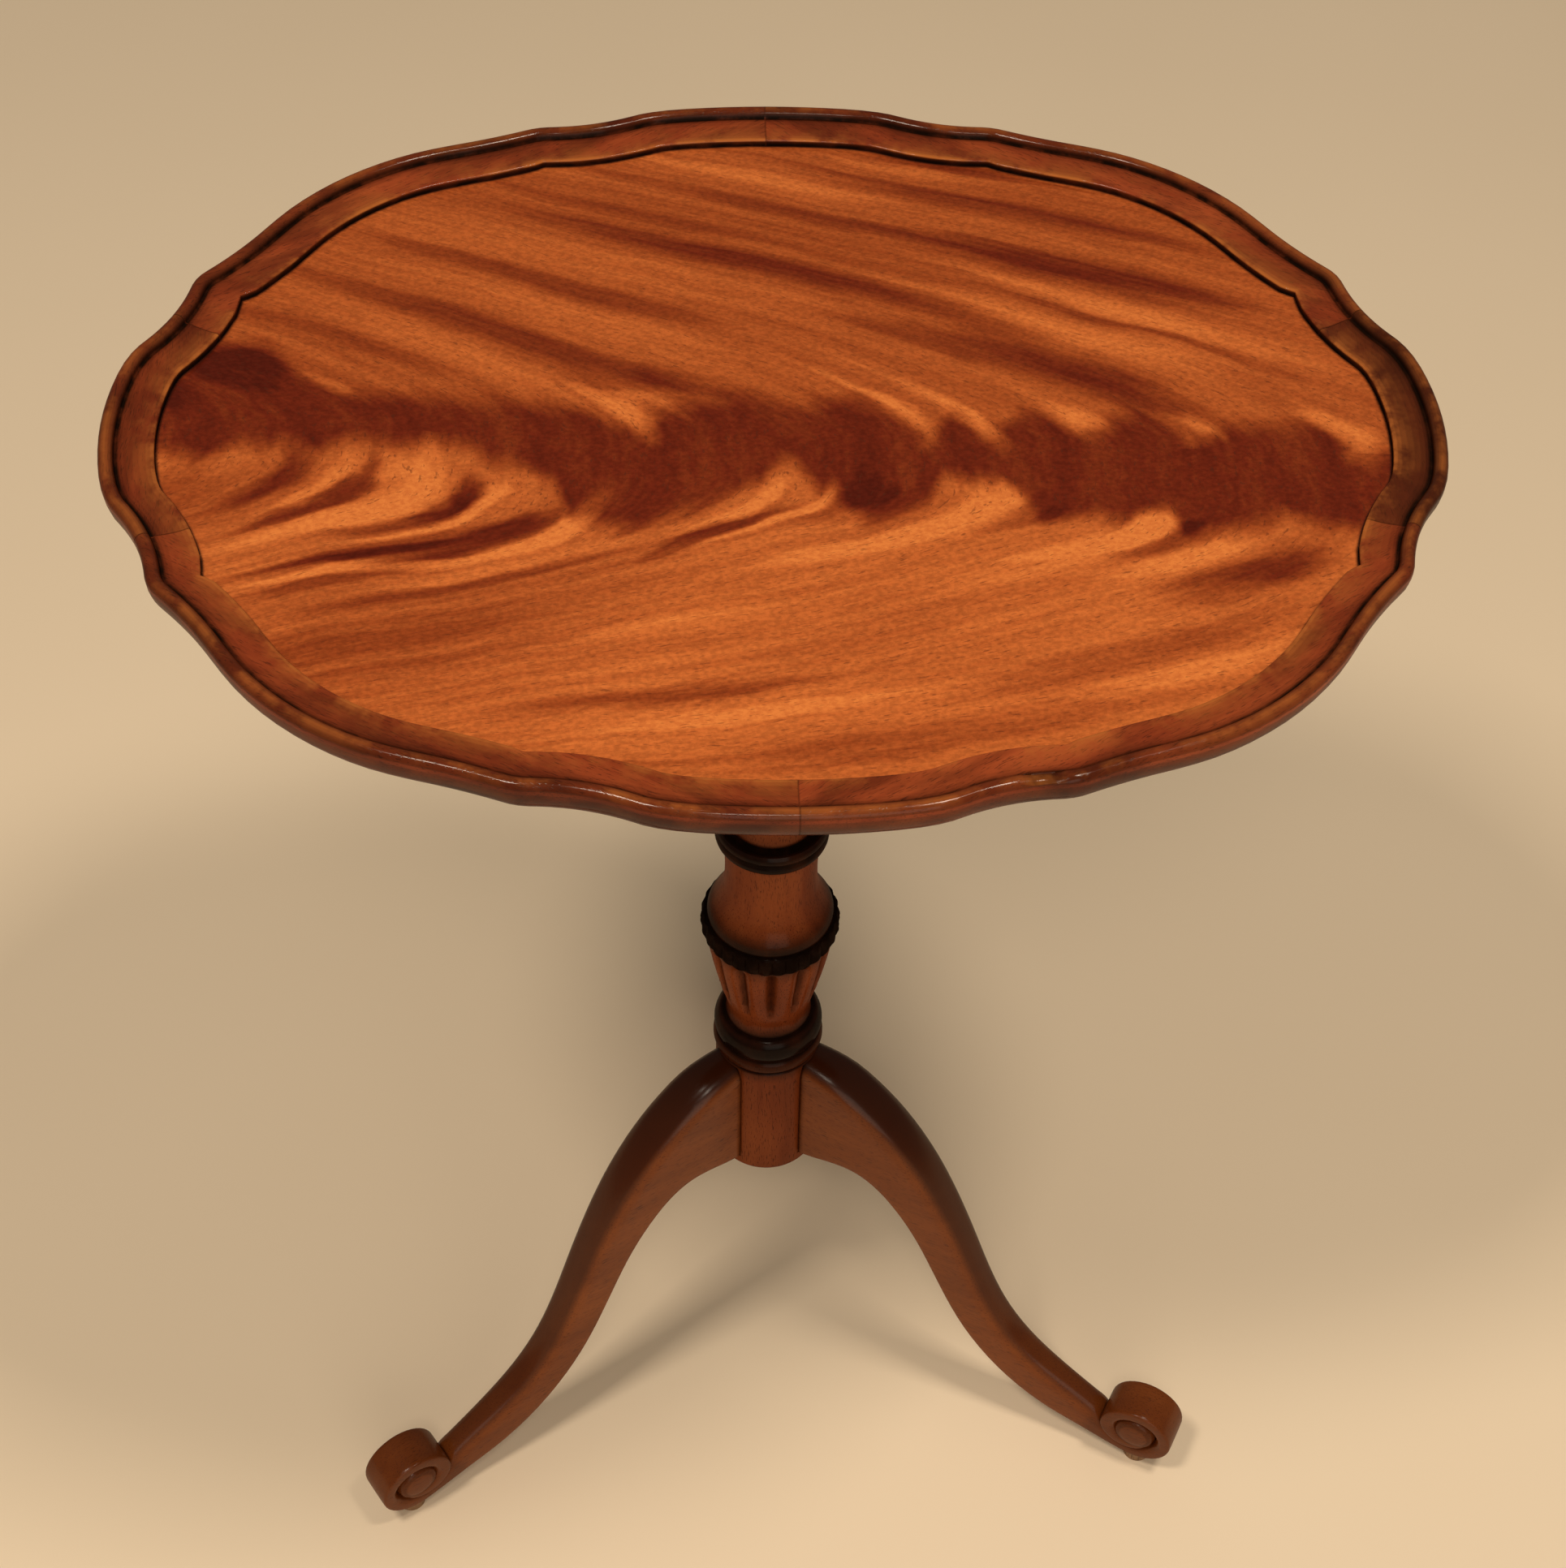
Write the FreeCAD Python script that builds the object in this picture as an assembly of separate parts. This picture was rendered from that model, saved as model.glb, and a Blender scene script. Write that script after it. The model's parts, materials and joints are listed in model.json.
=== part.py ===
import FreeCAD
import Part
import math
import os
from FreeCAD import Vector

# Small tripod wine table, millimetres, +Z up.
# The origin is on the floor, straight below the column; +X runs along the oval top, -Y is the front.

# Overall sizes
table_height = 520.0
top_length = 434.4
top_width = 347.0
leg_count = 3

# Piecrust rim, measured inwards from its widest line and down from its lip
lip_width = 5.0
rim_width = 17.5
band_slope_drop = 1.0
field_drop = 6.0
edge_round_width = 9.5
rebate_inset = 11.0
glue_gap = 0.1
lip_steps = 6
edge_steps = 5

# Top board and veneer
veneer_thickness = 0.9
board_thickness = 8.0

# Bearer block and its screws
block_radius = 52.0
block_thickness = 18.0
block_round = 8.0
screw_circle_radius = 34.0
screw_count = 4
screw_shank_radius = 2.0
screw_head_radius = 4.0
screw_head_height = 2.4
screw_bite = 6.0
screw_slot_width = 0.8
screw_slot_depth = 0.7
screw_clearance = 0.1

# Column
column_foot_height = 128.0
leg_block_radius = 21.0
leg_block_top = 193.5
carved_ring_radius = 26.9
tenon_radius = 12.0
tenon_clearance = 0.1
lobe_count = 12
lobe_groove_depth = 1.5
lobe_groove_width = 3.0

# Wedge in the tenon
wedge_width = 20.0
wedge_depth = 13.0
wedge_thickness_top = 1.8
wedge_thickness_tip = 0.8
wedge_clearance = 0.05

# Legs; the base sits a little out of square with the top, turned anticlockwise as seen from above
base_turn_angle = 2.6
leg_thickness = 22.0
leg_shoulder_thickness = 19.0
foot_radius = 181.0
scroll_radius = 17.0
scroll_centre_height = 24.0
scroll_width = 18.0
scroll_half_rings = 3
scroll_groove_width = 1.2
scroll_groove_depth = 1.0
scroll_eye_radius = 3.6
leg_top_round = 4.5
leg_under_round = 1.2

# Sliding dovetails
dovetail_depth = 8.0
dovetail_neck_width = 8.0
dovetail_root_width = 11.0
dovetail_shoulder = 5.0
dovetail_clearance = 0.15

# Pads and their nails
pad_radius = 6.0
pad_height = 8.0
pad_offset = 1.0
pad_round = 0.8
nail_radius = 0.8
nail_length = 13.0
nail_head_radius = 2.2
nail_head_height = 0.7
nail_recess = 1.5
nail_clearance = 0.05

# Base plate and its screws
plate_radius = 15.0
plate_thickness = 1.6
plate_screw_circle_radius = 10.5
plate_screw_shank_radius = 1.2
plate_screw_head_radius = 2.2
plate_screw_head_height = 1.1
plate_screw_length = 10.0

overrun = 20.0

# Corners of the oval's first quarter, as shares of its half length and half width, from the right
# end round to the back: end knuckle, end cusp, two places on the long sweep, side cusp, side knuckle
corner_shares = [
    (0.975, 0.209),
    (0.898, 0.428),
    (0.800, 0.584),
    (0.520, 0.862),
    (0.375, 0.927),
    (0.197, 0.981),
]
# The point half way along each stretch between those corners
middle_shares = [
    (0.922, 0.313),
    (0.845, 0.503),
    (0.681, 0.757),
    (0.447, 0.891),
    (0.283, 0.939),
]

# Turned profile of the leg block: height as a share of the way from the column's foot to the block's
# top, radius as a share of the block's; a pair of points makes an arc, one point a straight line
foot_start_share = 0.87
foot_shares = [
    [(0.012, 0.957), (0.046, 1.000)],
    [(1.000, 1.000)],
]
# The same above the leg block: height as a share of the way from there to the bearer block, radius as
# a share of the carved ring
turning_shares = [
    [(0.003, 0.758)],
    [(0.013, 0.818), (0.024, 0.788)],
    [(0.028, 0.762)],
    [(0.047, 0.803), (0.063, 0.729)],
    [(0.067, 0.640)],
    [(0.082, 0.612), (0.101, 0.665)],
    [(0.152, 0.770), (0.238, 0.925)],
    [(0.240, 0.960)],
    [(0.254, 1.000), (0.268, 0.960)],
    [(0.272, 0.890)],
    [(0.290, 0.868), (0.313, 0.775)],
    [(0.334, 0.688), (0.359, 0.662)],
    [(0.388, 0.662), (0.417, 0.680)],
    [(0.419, 0.721)],
    [(0.426, 0.790), (0.433, 0.762)],
    [(0.436, 0.762)],
    [(0.442, 0.792), (0.450, 0.755)],
    [(0.453, 0.613)],
    [(0.475, 0.576), (0.506, 0.591)],
    [(0.676, 0.606), (0.858, 0.480)],
    [(0.870, 0.558)],
    [(0.881, 0.610), (0.894, 0.561)],
    [(0.900, 0.502)],
    [(0.945, 0.561), (0.985, 0.859)],
    [(1.000, 0.859)],
]
# Where the carved grooves between the lobes start and end, as shares of the same height and radius
groove_top_share = (0.235, 0.950)
groove_foot_share = (0.122, 0.700)

# Leg profile: distance out as a share of the foot radius, height as a share of the leg block's top
shoulder_foot_share = 0.694
leg_top_shares = [
    (0.240, 0.972),
    (0.412, 0.800),
    (0.525, 0.579),
    (0.608, 0.384),
    (0.729, 0.239),
    (0.867, 0.161),
]
leg_under_shares = [
    (0.226, 0.715),
    (0.368, 0.608),
    (0.477, 0.388),
    (0.613, 0.186),
    (0.790, 0.078),
    (0.967, 0.044),
]
# Leg seen from above: distance out as a share of the foot radius, width as a share of its thickness
leg_taper_shares = [
    (0.300, 1.000),
    (0.440, 0.850),
    (0.550, 0.740),
    (0.720, 0.680),
    (0.870, 0.600),
    (1.000, 0.640),
]

# Worked-out sizes
half_length = top_length / 2
half_width = top_width / 2
lip_radius = lip_width / 2
field_height = table_height - field_drop
board_top = field_height - veneer_thickness
board_bottom = board_top - board_thickness
block_bottom = board_bottom - block_thickness
rim_depth = table_height - board_bottom
turning_height = block_bottom - leg_block_top
flat_distance = math.sqrt(leg_block_radius ** 2 - (leg_shoulder_thickness / 2) ** 2)
leg_top_height = leg_block_top - dovetail_clearance
dovetail_top = leg_block_top - dovetail_shoulder
turn_angle = 360.0 / leg_count
front_angle = -90.0
back_angle = 90.0
back_leg_angle = back_angle + base_turn_angle


def turned_to(shape, angle):
    """copy of a shape turned about the column's axis"""
    copy = shape.copy()
    copy.rotate(Vector(0, 0, 0), Vector(0, 0, 1), angle)
    return copy


# Piecrust outline

def quarter_points(shares, sign_x, sign_y):
    """places in plan from shares of the half sizes, mirrored into one quarter"""
    return [Vector(sign_x * half_length * sx, sign_y * half_width * sy, 0) for sx, sy in shares]


def outline():
    """corners and middles all round the oval, anticlockwise from the right end's knuckle"""
    corners = []
    middles = []
    quarters = [(1, 1, False), (-1, 1, True), (-1, -1, False), (1, -1, True)]
    for sign_x, sign_y, backwards in quarters:
        c = quarter_points(corner_shares, sign_x, sign_y)
        m = quarter_points(middle_shares, sign_x, sign_y)
        if backwards:
            c.reverse()
            m.reverse()
            between = Vector(sign_x * half_length, 0, 0)
        else:
            between = Vector(0, sign_y * half_width, 0)
        corners += c
        middles += m + [between]
    return corners, middles


def inward(place, centre, corner_a, corner_b):
    """unit normal at a place on an arc, pointing into the oval"""
    n = place - centre
    n.normalize()
    chord = corner_b - corner_a
    left = Vector(-chord.y, chord.x, 0)
    if n.dot(left) < 0:
        n = -n
    return n


def inset_outline(inset):
    """the outline's corners and middles moved inwards by the inset, each corner mitred"""
    corners, middles = outline()
    count = len(corners)
    normals = []
    for i in range(count):
        a, m, b = corners[i], middles[i], corners[(i + 1) % count]
        centre = Part.Circle(a, m, b).Center
        normals.append([inward(p, centre, a, b) for p in (a, m, b)])
    new_corners = []
    new_middles = []
    for i in range(count):
        before = normals[i - 1][2]
        after = normals[i][0]
        mitre = before + after
        mitre.normalize()
        new_corners.append(corners[i] + mitre * (inset / mitre.dot(after)))
        new_middles.append(middles[i] + normals[i][1] * inset)
    return new_corners, new_middles


def outline_arcs(inset, height):
    """arcs of the inset outline at a height"""
    corners, middles = inset_outline(inset)
    lift = Vector(0, 0, height)
    count = len(corners)
    arcs = []
    for i in range(count):
        a, m, b = corners[i] + lift, middles[i] + lift, corners[(i + 1) % count] + lift
        arcs.append(Part.Arc(a, m, b))
    return arcs


def half_arc(arc, middle, second_half):
    """one half of an arc, for a joint that falls on its middle"""
    at_middle = arc.parameter(middle)
    low, high = (at_middle, arc.LastParameter) if second_half else (arc.FirstParameter, at_middle)
    return Part.Arc(arc.value(low), arc.value((low + high) / 2), arc.value(high))


def oval_slab(inset, bottom, thickness):
    """flat slab with the inset outline"""
    edges = [arc.toShape() for arc in outline_arcs(inset, bottom)]
    return Part.Face(Part.Wire(edges)).extrude(Vector(0, 0, thickness))


# Rim

def rim_profile():
    """closed section of the rim: inset from the widest line and height, from the under edge round"""
    points = []
    side_height = rim_depth - lip_radius
    for k in range(edge_steps + 1):
        a = math.radians(90.0) * (1 - k / edge_steps)
        inset = edge_round_width * (1 - math.cos(a))
        points.append((inset, board_bottom + side_height * (1 - math.sin(a))))
    for k in range(1, lip_steps + 1):
        a = math.radians(180.0) * (1 - k / lip_steps)
        inset = lip_radius * (1 + math.cos(a))
        points.append((inset, table_height - lip_radius * (1 - math.sin(a))))
    band_end = table_height - lip_radius - band_slope_drop
    points.append((rim_width, band_end))
    points.append((rim_width, board_top))
    points.append((rebate_inset, board_top))
    points.append((rebate_inset, board_bottom))
    return points


def rim_segment(first_arc, last_arc):
    """one length of moulding, from the middle of one arc to the middle of another"""
    profile = rim_profile()
    rows = []
    for inset, height in profile:
        arcs = outline_arcs(inset, height)
        middles = [m + Vector(0, 0, height) for m in inset_outline(inset)[1]]
        count = len(arcs)
        first = first_arc % count
        last = last_arc % count
        row = [half_arc(arcs[first], middles[first], True)]
        for i in range(first_arc + 1, last_arc):
            row.append(arcs[i % count])
        row.append(half_arc(arcs[last], middles[last], False))
        rows.append(row)
    faces = []
    for k in range(len(rows)):
        for low, high in zip(rows[k - 1], rows[k]):
            faces.append(Part.makeRuledSurface(low.toShape(), high.toShape()))
    for end in (0, 1):
        places = [row[-1].value(row[-1].LastParameter) if end else row[0].value(row[0].FirstParameter)
                  for row in rows]
        faces.append(Part.Face(Part.makePolygon(places + [places[0]])))
    shell = Part.makeShell(faces)
    shell.sewShape()
    solid = Part.makeSolid(shell)
    if solid.Volume < 0:
        solid.reverse()
    return solid


def rim_segments():
    """the six lengths of moulding, jointed at front and back centre and on the four end ogees"""
    stretches = len(corner_shares)
    end_ogee = [0, 2 * stretches - 2, 2 * stretches, 4 * stretches - 2]
    back_centre = stretches - 1
    front_centre = 3 * stretches - 1
    whole = 4 * stretches
    return {
        "rim_back_right": rim_segment(end_ogee[0], back_centre),
        "rim_back_left": rim_segment(back_centre, end_ogee[1]),
        "rim_left_end": rim_segment(end_ogee[1], end_ogee[2]),
        "rim_front_left": rim_segment(end_ogee[2], front_centre),
        "rim_front_right": rim_segment(front_centre, end_ogee[3]),
        "rim_right_end": rim_segment(end_ogee[3], whole),
    }


# Top board, veneer, bearer block and screws

def around(radius, angle, height):
    """place at a radius and an angle in degrees about the column"""
    a = math.radians(angle)
    return Vector(radius * math.cos(a), radius * math.sin(a), height)


def screw_places():
    """where the block's screws stand, between the oval's axes"""
    step = 360.0 / screw_count
    return [around(screw_circle_radius, step * (k + 1 / 2), block_bottom) for k in range(screw_count)]


def wood_screw(place, shank_radius, head_radius, head_height, length):
    """countersunk screw pointing up, its head flush at the place"""
    head = Part.makeCone(head_radius, shank_radius, head_height, place)
    shank = Part.makeCylinder(shank_radius, length, place)
    return head.fuse(shank).removeSplitter()


def slotted(screw, place, head_radius):
    """screw with a driver's slot across its head"""
    corner = place - Vector(head_radius, screw_slot_width / 2, 0)
    return screw.cut(Part.makeBox(2 * head_radius, screw_slot_width, screw_slot_depth, corner))


def flame_veneer():
    return oval_slab(rim_width + glue_gap, board_top, veneer_thickness)


def top_board():
    board = oval_slab(rebate_inset + glue_gap, board_bottom, board_thickness)
    for place in screw_places():
        pilot_place = Vector(place.x, place.y, board_bottom - overrun)
        pilot_length = overrun + screw_bite + screw_clearance
        pilot = Part.makeCylinder(screw_shank_radius + screw_clearance, pilot_length, pilot_place)
        board = board.cut(pilot)
    return board


def bearer_block():
    block = Part.makeCylinder(block_radius, block_thickness, Vector(0, 0, block_bottom))
    rims = [e for e in block.Edges if len(e.Vertexes) == 1]
    low_rims = [e for e in rims if e.BoundBox.ZMax < block_bottom + block_round]
    block = block.makeFillet(block_round, low_rims)
    hole = Part.makeCylinder(tenon_radius + tenon_clearance, block_thickness + 2 * overrun,
                             Vector(0, 0, block_bottom - overrun))
    block = block.cut(hole)
    for place in screw_places():
        block = block.cut(wood_screw(place, screw_shank_radius + screw_clearance,
                                     screw_head_radius + screw_clearance, screw_head_height,
                                     block_thickness + overrun))
    return block


def block_screws():
    length = block_thickness + screw_bite
    screws = []
    for place in screw_places():
        screw = wood_screw(place, screw_shank_radius, screw_head_radius, screw_head_height, length)
        screws.append(slotted(screw, place, screw_head_radius))
    return Part.makeCompound(screws)


# Column

def turned(points_and_arcs, start):
    """solid of revolution about the column's axis from a profile of lines and arcs"""
    edges = []
    here = start
    for stretch in points_and_arcs:
        places = [Vector(r, 0, z) for z, r in stretch]
        if len(places) == 1:
            edges.append(Part.LineSegment(here, places[0]).toShape())
        else:
            edges.append(Part.Arc(here, places[0], places[1]).toShape())
        here = places[-1]
    foot = Vector(0, 0, start.z)
    crown = Vector(0, 0, here.z)
    edges.append(Part.LineSegment(here, crown).toShape())
    edges.append(Part.LineSegment(crown, foot).toShape())
    edges.append(Part.LineSegment(foot, start).toShape())
    face = Part.Face(Part.Wire(edges))
    return face.revolve(Vector(0, 0, 0), Vector(0, 0, 1), 360.0)


def column_profile():
    """heights and radii of the whole turning, from the foot up to the tenon"""
    rise = leg_block_top - column_foot_height
    profile = []
    for stretch in foot_shares:
        profile.append([(column_foot_height + rise * h, leg_block_radius * r) for h, r in stretch])
    for stretch in turning_shares:
        profile.append([(leg_block_top + turning_height * h, carved_ring_radius * r) for h, r in stretch])
    profile.append([(block_bottom, tenon_radius)])
    profile.append([(board_bottom, tenon_radius)])
    return profile


def on_vase(share):
    """place on the carved vase from shares of its height and radius"""
    height_share, radius_share = share
    return Vector(carved_ring_radius * radius_share, 0, leg_block_top + turning_height * height_share)


def lobe_grooves():
    """V-shaped cutters for the carved grooves between the lobes"""
    top = on_vase(groove_top_share)
    foot = on_vase(groove_foot_share)
    run = top - foot
    outwards = Vector(run.z, 0, -run.x)
    outwards.normalize()
    across = Vector(0, lobe_groove_width, 0)
    bottom = foot - outwards * lobe_groove_depth
    mouth = foot + outwards * lobe_groove_depth
    section = Part.Face(Part.makePolygon([bottom, mouth + across, mouth - across, bottom]))
    cutter = section.extrude(run)
    return [turned_to(cutter, front_angle + 360.0 * k / lobe_count) for k in range(lobe_count)]


def dovetail(clearance):
    """dovetail tongue along +X, from the leg's shoulder in towards the axis"""
    neck = dovetail_neck_width / 2 + clearance
    root = dovetail_root_width / 2 + clearance
    inner = flat_distance - dovetail_depth - clearance
    outer = flat_distance + clearance
    plan = [(outer, -neck), (inner, -root), (inner, root), (outer, neck)]
    places = [Vector(x, y, 0) for x, y in plan]
    face = Part.Face(Part.makePolygon(places + [places[0]]))
    if clearance > 0:
        bottom = column_foot_height - overrun
        top = dovetail_top + clearance
    else:
        bottom = column_foot_height + plate_thickness
        top = dovetail_top
    face.translate(Vector(0, 0, bottom))
    return face.extrude(Vector(0, 0, top - bottom))


def leg_flat():
    """cutter for the flat on the leg block that a leg's shoulder meets"""
    size = leg_block_radius + overrun
    return Part.makeBox(size, leg_shoulder_thickness, leg_top_height - column_foot_height + overrun,
                        Vector(flat_distance, -leg_shoulder_thickness / 2, column_foot_height - overrun))


def leg_angles():
    """directions of the legs: two at the front, one at the back"""
    return {
        "front_left_leg": back_leg_angle + turn_angle,
        "front_right_leg": back_leg_angle - turn_angle,
        "back_leg": back_leg_angle,
    }


def wedge_solid(clearance):
    """tapered wedge across the tenon, thick end up"""
    half_top = wedge_thickness_top / 2 + clearance
    half_tip = wedge_thickness_tip / 2 + clearance
    tip = board_bottom - wedge_depth - clearance
    half_span = tenon_radius + overrun if clearance > 0 else wedge_width / 2
    side = [(-half_top, board_bottom), (half_top, board_bottom), (half_tip, tip), (-half_tip, tip)]
    places = [Vector(-half_span, y, z) for y, z in side]
    face = Part.Face(Part.makePolygon(places + [places[0]]))
    return face.extrude(Vector(2 * half_span, 0, 0))


def plate_screw_places():
    """where the base plate's screws stand, between the legs"""
    return [around(plate_screw_circle_radius, angle + turn_angle / 2, column_foot_height)
            for angle in leg_angles().values()]


def column():
    start = Vector(leg_block_radius * foot_start_share, 0, column_foot_height)
    body = turned(column_profile(), start)
    for cutter in lobe_grooves():
        body = body.cut(cutter)
    for angle in leg_angles().values():
        body = body.cut(turned_to(leg_flat(), angle))
        body = body.cut(turned_to(dovetail(dovetail_clearance), angle))
    body = body.cut(wedge_solid(wedge_clearance))
    foot = Vector(0, 0, column_foot_height)
    body = body.cut(Part.makeCylinder(plate_radius + screw_clearance, plate_thickness, foot))
    for place in plate_screw_places():
        body = body.cut(Part.makeCylinder(plate_screw_shank_radius + screw_clearance,
                                          plate_screw_length + screw_clearance, place))
    return body


def base_plate():
    plate = Part.makeCylinder(plate_radius, plate_thickness, Vector(0, 0, column_foot_height))
    for place in plate_screw_places():
        plate = plate.cut(wood_screw(place, plate_screw_shank_radius + screw_clearance,
                                     plate_screw_head_radius + screw_clearance,
                                     plate_screw_head_height, plate_thickness + overrun))
    return plate


def plate_screws():
    screws = []
    for place in plate_screw_places():
        screw = wood_screw(place, plate_screw_shank_radius, plate_screw_head_radius,
                           plate_screw_head_height, plate_screw_length)
        screws.append(slotted(screw, place, plate_screw_head_radius))
    return Part.makeCompound(screws)


# Legs, pads and nails

def curve_through(places):
    """smooth edge through a few places"""
    curve = Part.BSplineCurve()
    curve.interpolate(places)
    return curve.toShape()


def leg_side_slab():
    """the leg's side profile, as thick as the leg is at the column"""
    top = [Vector(foot_radius * x, 0, leg_block_top * z) for x, z in leg_top_shares]
    under = [Vector(foot_radius * x, 0, leg_block_top * z) for x, z in leg_under_shares]
    shoulder_top = Vector(flat_distance, 0, leg_top_height)
    shoulder_foot = Vector(flat_distance, 0, leg_block_top * shoulder_foot_share)
    edges = [
        curve_through([shoulder_top] + top),
        Part.LineSegment(top[-1], under[-1]).toShape(),
        curve_through(list(reversed(under)) + [shoulder_foot]),
        Part.LineSegment(shoulder_foot, shoulder_top).toShape(),
    ]
    face = Part.Face(Part.Wire(edges))
    face.translate(Vector(0, -leg_thickness / 2, 0))
    return face.extrude(Vector(0, leg_thickness, 0))


def leg_plan_slab():
    """the leg's tapering plan, tall enough to cut the whole side slab"""
    near = [Vector(foot_radius * x, leg_thickness / 2 * w, 0) for x, w in leg_taper_shares]
    start = Vector(flat_distance, leg_shoulder_thickness / 2, 0)
    far = [Vector(p.x, -p.y, 0) for p in reversed([start] + near)]
    edges = [
        curve_through([start] + near),
        Part.LineSegment(near[-1], far[0]).toShape(),
        curve_through(far),
        Part.LineSegment(far[-1], start).toShape(),
    ]
    return Part.Face(Part.Wire(edges)).extrude(Vector(0, 0, leg_block_top + overrun))


def scroll():
    """rolled toe, its side edges eased"""
    centre = Vector(foot_radius, 0, scroll_centre_height)
    across = Vector(0, 1, 0)
    half = scroll_width / 2
    roll = Part.makeCylinder(scroll_radius, scroll_width, centre - across * half, across)
    rims = [e for e in roll.Edges if len(e.Vertexes) == 1]
    roll = roll.makeFillet(leg_under_round, rims)
    return roll


def scroll_grooves():
    """half rings of shrinking radius that wind in towards the eye"""
    half = scroll_width / 2
    pitch = (scroll_radius - scroll_eye_radius) / (scroll_half_rings + 1)
    cutters = []
    for side in (-1, 1):
        low = half - scroll_groove_depth if side > 0 else -half - overrun
        for k in range(scroll_half_rings):
            outer = scroll_radius - pitch * (k + 1)
            shift = -pitch / 2 if k % 2 else 0
            centre = Vector(foot_radius + shift, low, scroll_centre_height)
            ring = Part.makeCylinder(outer, overrun + scroll_groove_depth, centre, Vector(0, 1, 0))
            ring = ring.cut(Part.makeCylinder(outer - scroll_groove_width, overrun + scroll_groove_depth,
                                              centre, Vector(0, 1, 0)))
            keep_low = scroll_centre_height if k % 2 else scroll_centre_height - 2 * scroll_radius
            keep = Part.makeBox(4 * scroll_radius, 2 * overrun + scroll_width * 2, 2 * scroll_radius,
                                Vector(foot_radius - 2 * scroll_radius, -overrun - scroll_width, keep_low))
            cutters.append(ring.common(keep))
    return cutters


def nail(clearance):
    """round nail up through a pad, its head in a recess"""
    x = foot_radius + pad_offset
    head_top = nail_recess + nail_head_height
    head_bottom = -overrun if clearance > 0 else nail_recess
    head = Part.makeCylinder(nail_head_radius + clearance, head_top - head_bottom, Vector(x, 0, head_bottom))
    shank = Part.makeCylinder(nail_radius + clearance, nail_length + clearance, Vector(x, 0, head_top))
    return head.fuse(shank).removeSplitter()


def leg_bar():
    """the leg without its toe, its long edges rounded: well over the top, lightly underneath"""
    bar = leg_side_slab().common(leg_plan_slab())
    long_edges = [e for e in bar.Edges if e.Length > foot_radius / 2]
    middle_height = sum(e.CenterOfMass.z for e in long_edges) / len(long_edges)
    over = [e for e in long_edges if e.CenterOfMass.z > middle_height]
    under = [e for e in long_edges if e.CenterOfMass.z < middle_height]
    return bar.makeFillet(leg_top_round, over).makeFillet(leg_under_round, under)


def leg():
    """one leg lying along +X"""
    body = leg_bar().fuse(scroll())
    trim = 2 * (foot_radius + scroll_radius)
    body = body.cut(Part.makeBox(trim, trim, pad_height + overrun, Vector(0, -trim / 2, -overrun)))
    for cutter in scroll_grooves():
        body = body.cut(cutter)
    body = body.cut(nail(nail_clearance))
    body = body.fuse(dovetail(0))
    return body.removeSplitter()


def pad():
    """pad under the toe"""
    x = foot_radius + pad_offset
    body = Part.makeCylinder(pad_radius, pad_height, Vector(x, 0, 0))
    low = [e for e in body.Edges if len(e.Vertexes) == 1 and e.BoundBox.ZMax < pad_round]
    body = body.makeFillet(pad_round, low)
    return body.cut(nail(nail_clearance))


def write(name, shape):
    """one file for a node, after a check that each of its solids is sound"""
    for solid in shape.Solids:
        if not solid.isValid():
            print("not sound:", name)
    shape.exportStep("parts/" + name + ".step")
    print(name, len(shape.Solids), round(shape.Volume))


def main():
    os.makedirs("parts", exist_ok=True)
    write("flame_veneer", flame_veneer())
    write("top_board", top_board())
    for name, segment in rim_segments().items():
        write(name, segment)
    write("bearer_block", bearer_block())
    write("block_screws", block_screws())
    write("column", column())
    write("column_wedge", wedge_solid(0))
    write("base_plate", base_plate())
    write("plate_screws", plate_screws())
    one_leg = leg()
    one_pad = pad()
    one_nail = nail(0)
    nails = []
    for name, angle in leg_angles().items():
        write(name, turned_to(one_leg, angle))
        write(name.replace("_leg", "_pad"), turned_to(one_pad, angle))
        nails.append(turned_to(one_nail, angle))
    write("pad_nails", Part.makeCompound(nails))


main()
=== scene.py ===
import json
import math

import bmesh
import bpy
from mathutils import Matrix, Vector

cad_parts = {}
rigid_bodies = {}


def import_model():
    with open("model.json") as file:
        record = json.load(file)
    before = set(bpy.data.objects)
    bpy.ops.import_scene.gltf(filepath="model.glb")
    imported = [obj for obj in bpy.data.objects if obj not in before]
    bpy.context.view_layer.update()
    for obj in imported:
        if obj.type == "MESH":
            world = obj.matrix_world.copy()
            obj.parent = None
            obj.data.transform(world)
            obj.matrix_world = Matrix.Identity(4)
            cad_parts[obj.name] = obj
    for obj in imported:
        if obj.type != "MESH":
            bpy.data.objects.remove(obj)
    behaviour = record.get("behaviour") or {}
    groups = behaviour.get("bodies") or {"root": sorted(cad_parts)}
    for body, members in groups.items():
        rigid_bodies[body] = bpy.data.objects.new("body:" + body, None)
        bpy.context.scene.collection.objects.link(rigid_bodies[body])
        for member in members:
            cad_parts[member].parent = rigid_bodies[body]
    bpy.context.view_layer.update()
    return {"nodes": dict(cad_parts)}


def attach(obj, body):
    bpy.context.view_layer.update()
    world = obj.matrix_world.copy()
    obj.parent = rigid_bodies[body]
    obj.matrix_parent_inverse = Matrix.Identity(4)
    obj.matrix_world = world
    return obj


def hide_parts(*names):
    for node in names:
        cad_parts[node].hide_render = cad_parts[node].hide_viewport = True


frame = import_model()

MM = 0.001


# Small helps for work at the bench

def put_down():
    """leaves edit mode and lets go of everything"""
    if bpy.context.mode != "OBJECT":
        bpy.ops.object.mode_set(mode="OBJECT")
    bpy.ops.object.select_all(action="DESELECT")


def pick_up(piece):
    """makes one piece the one being worked on"""
    put_down()
    piece.select_set(True)
    bpy.context.view_layer.objects.active = piece


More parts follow.
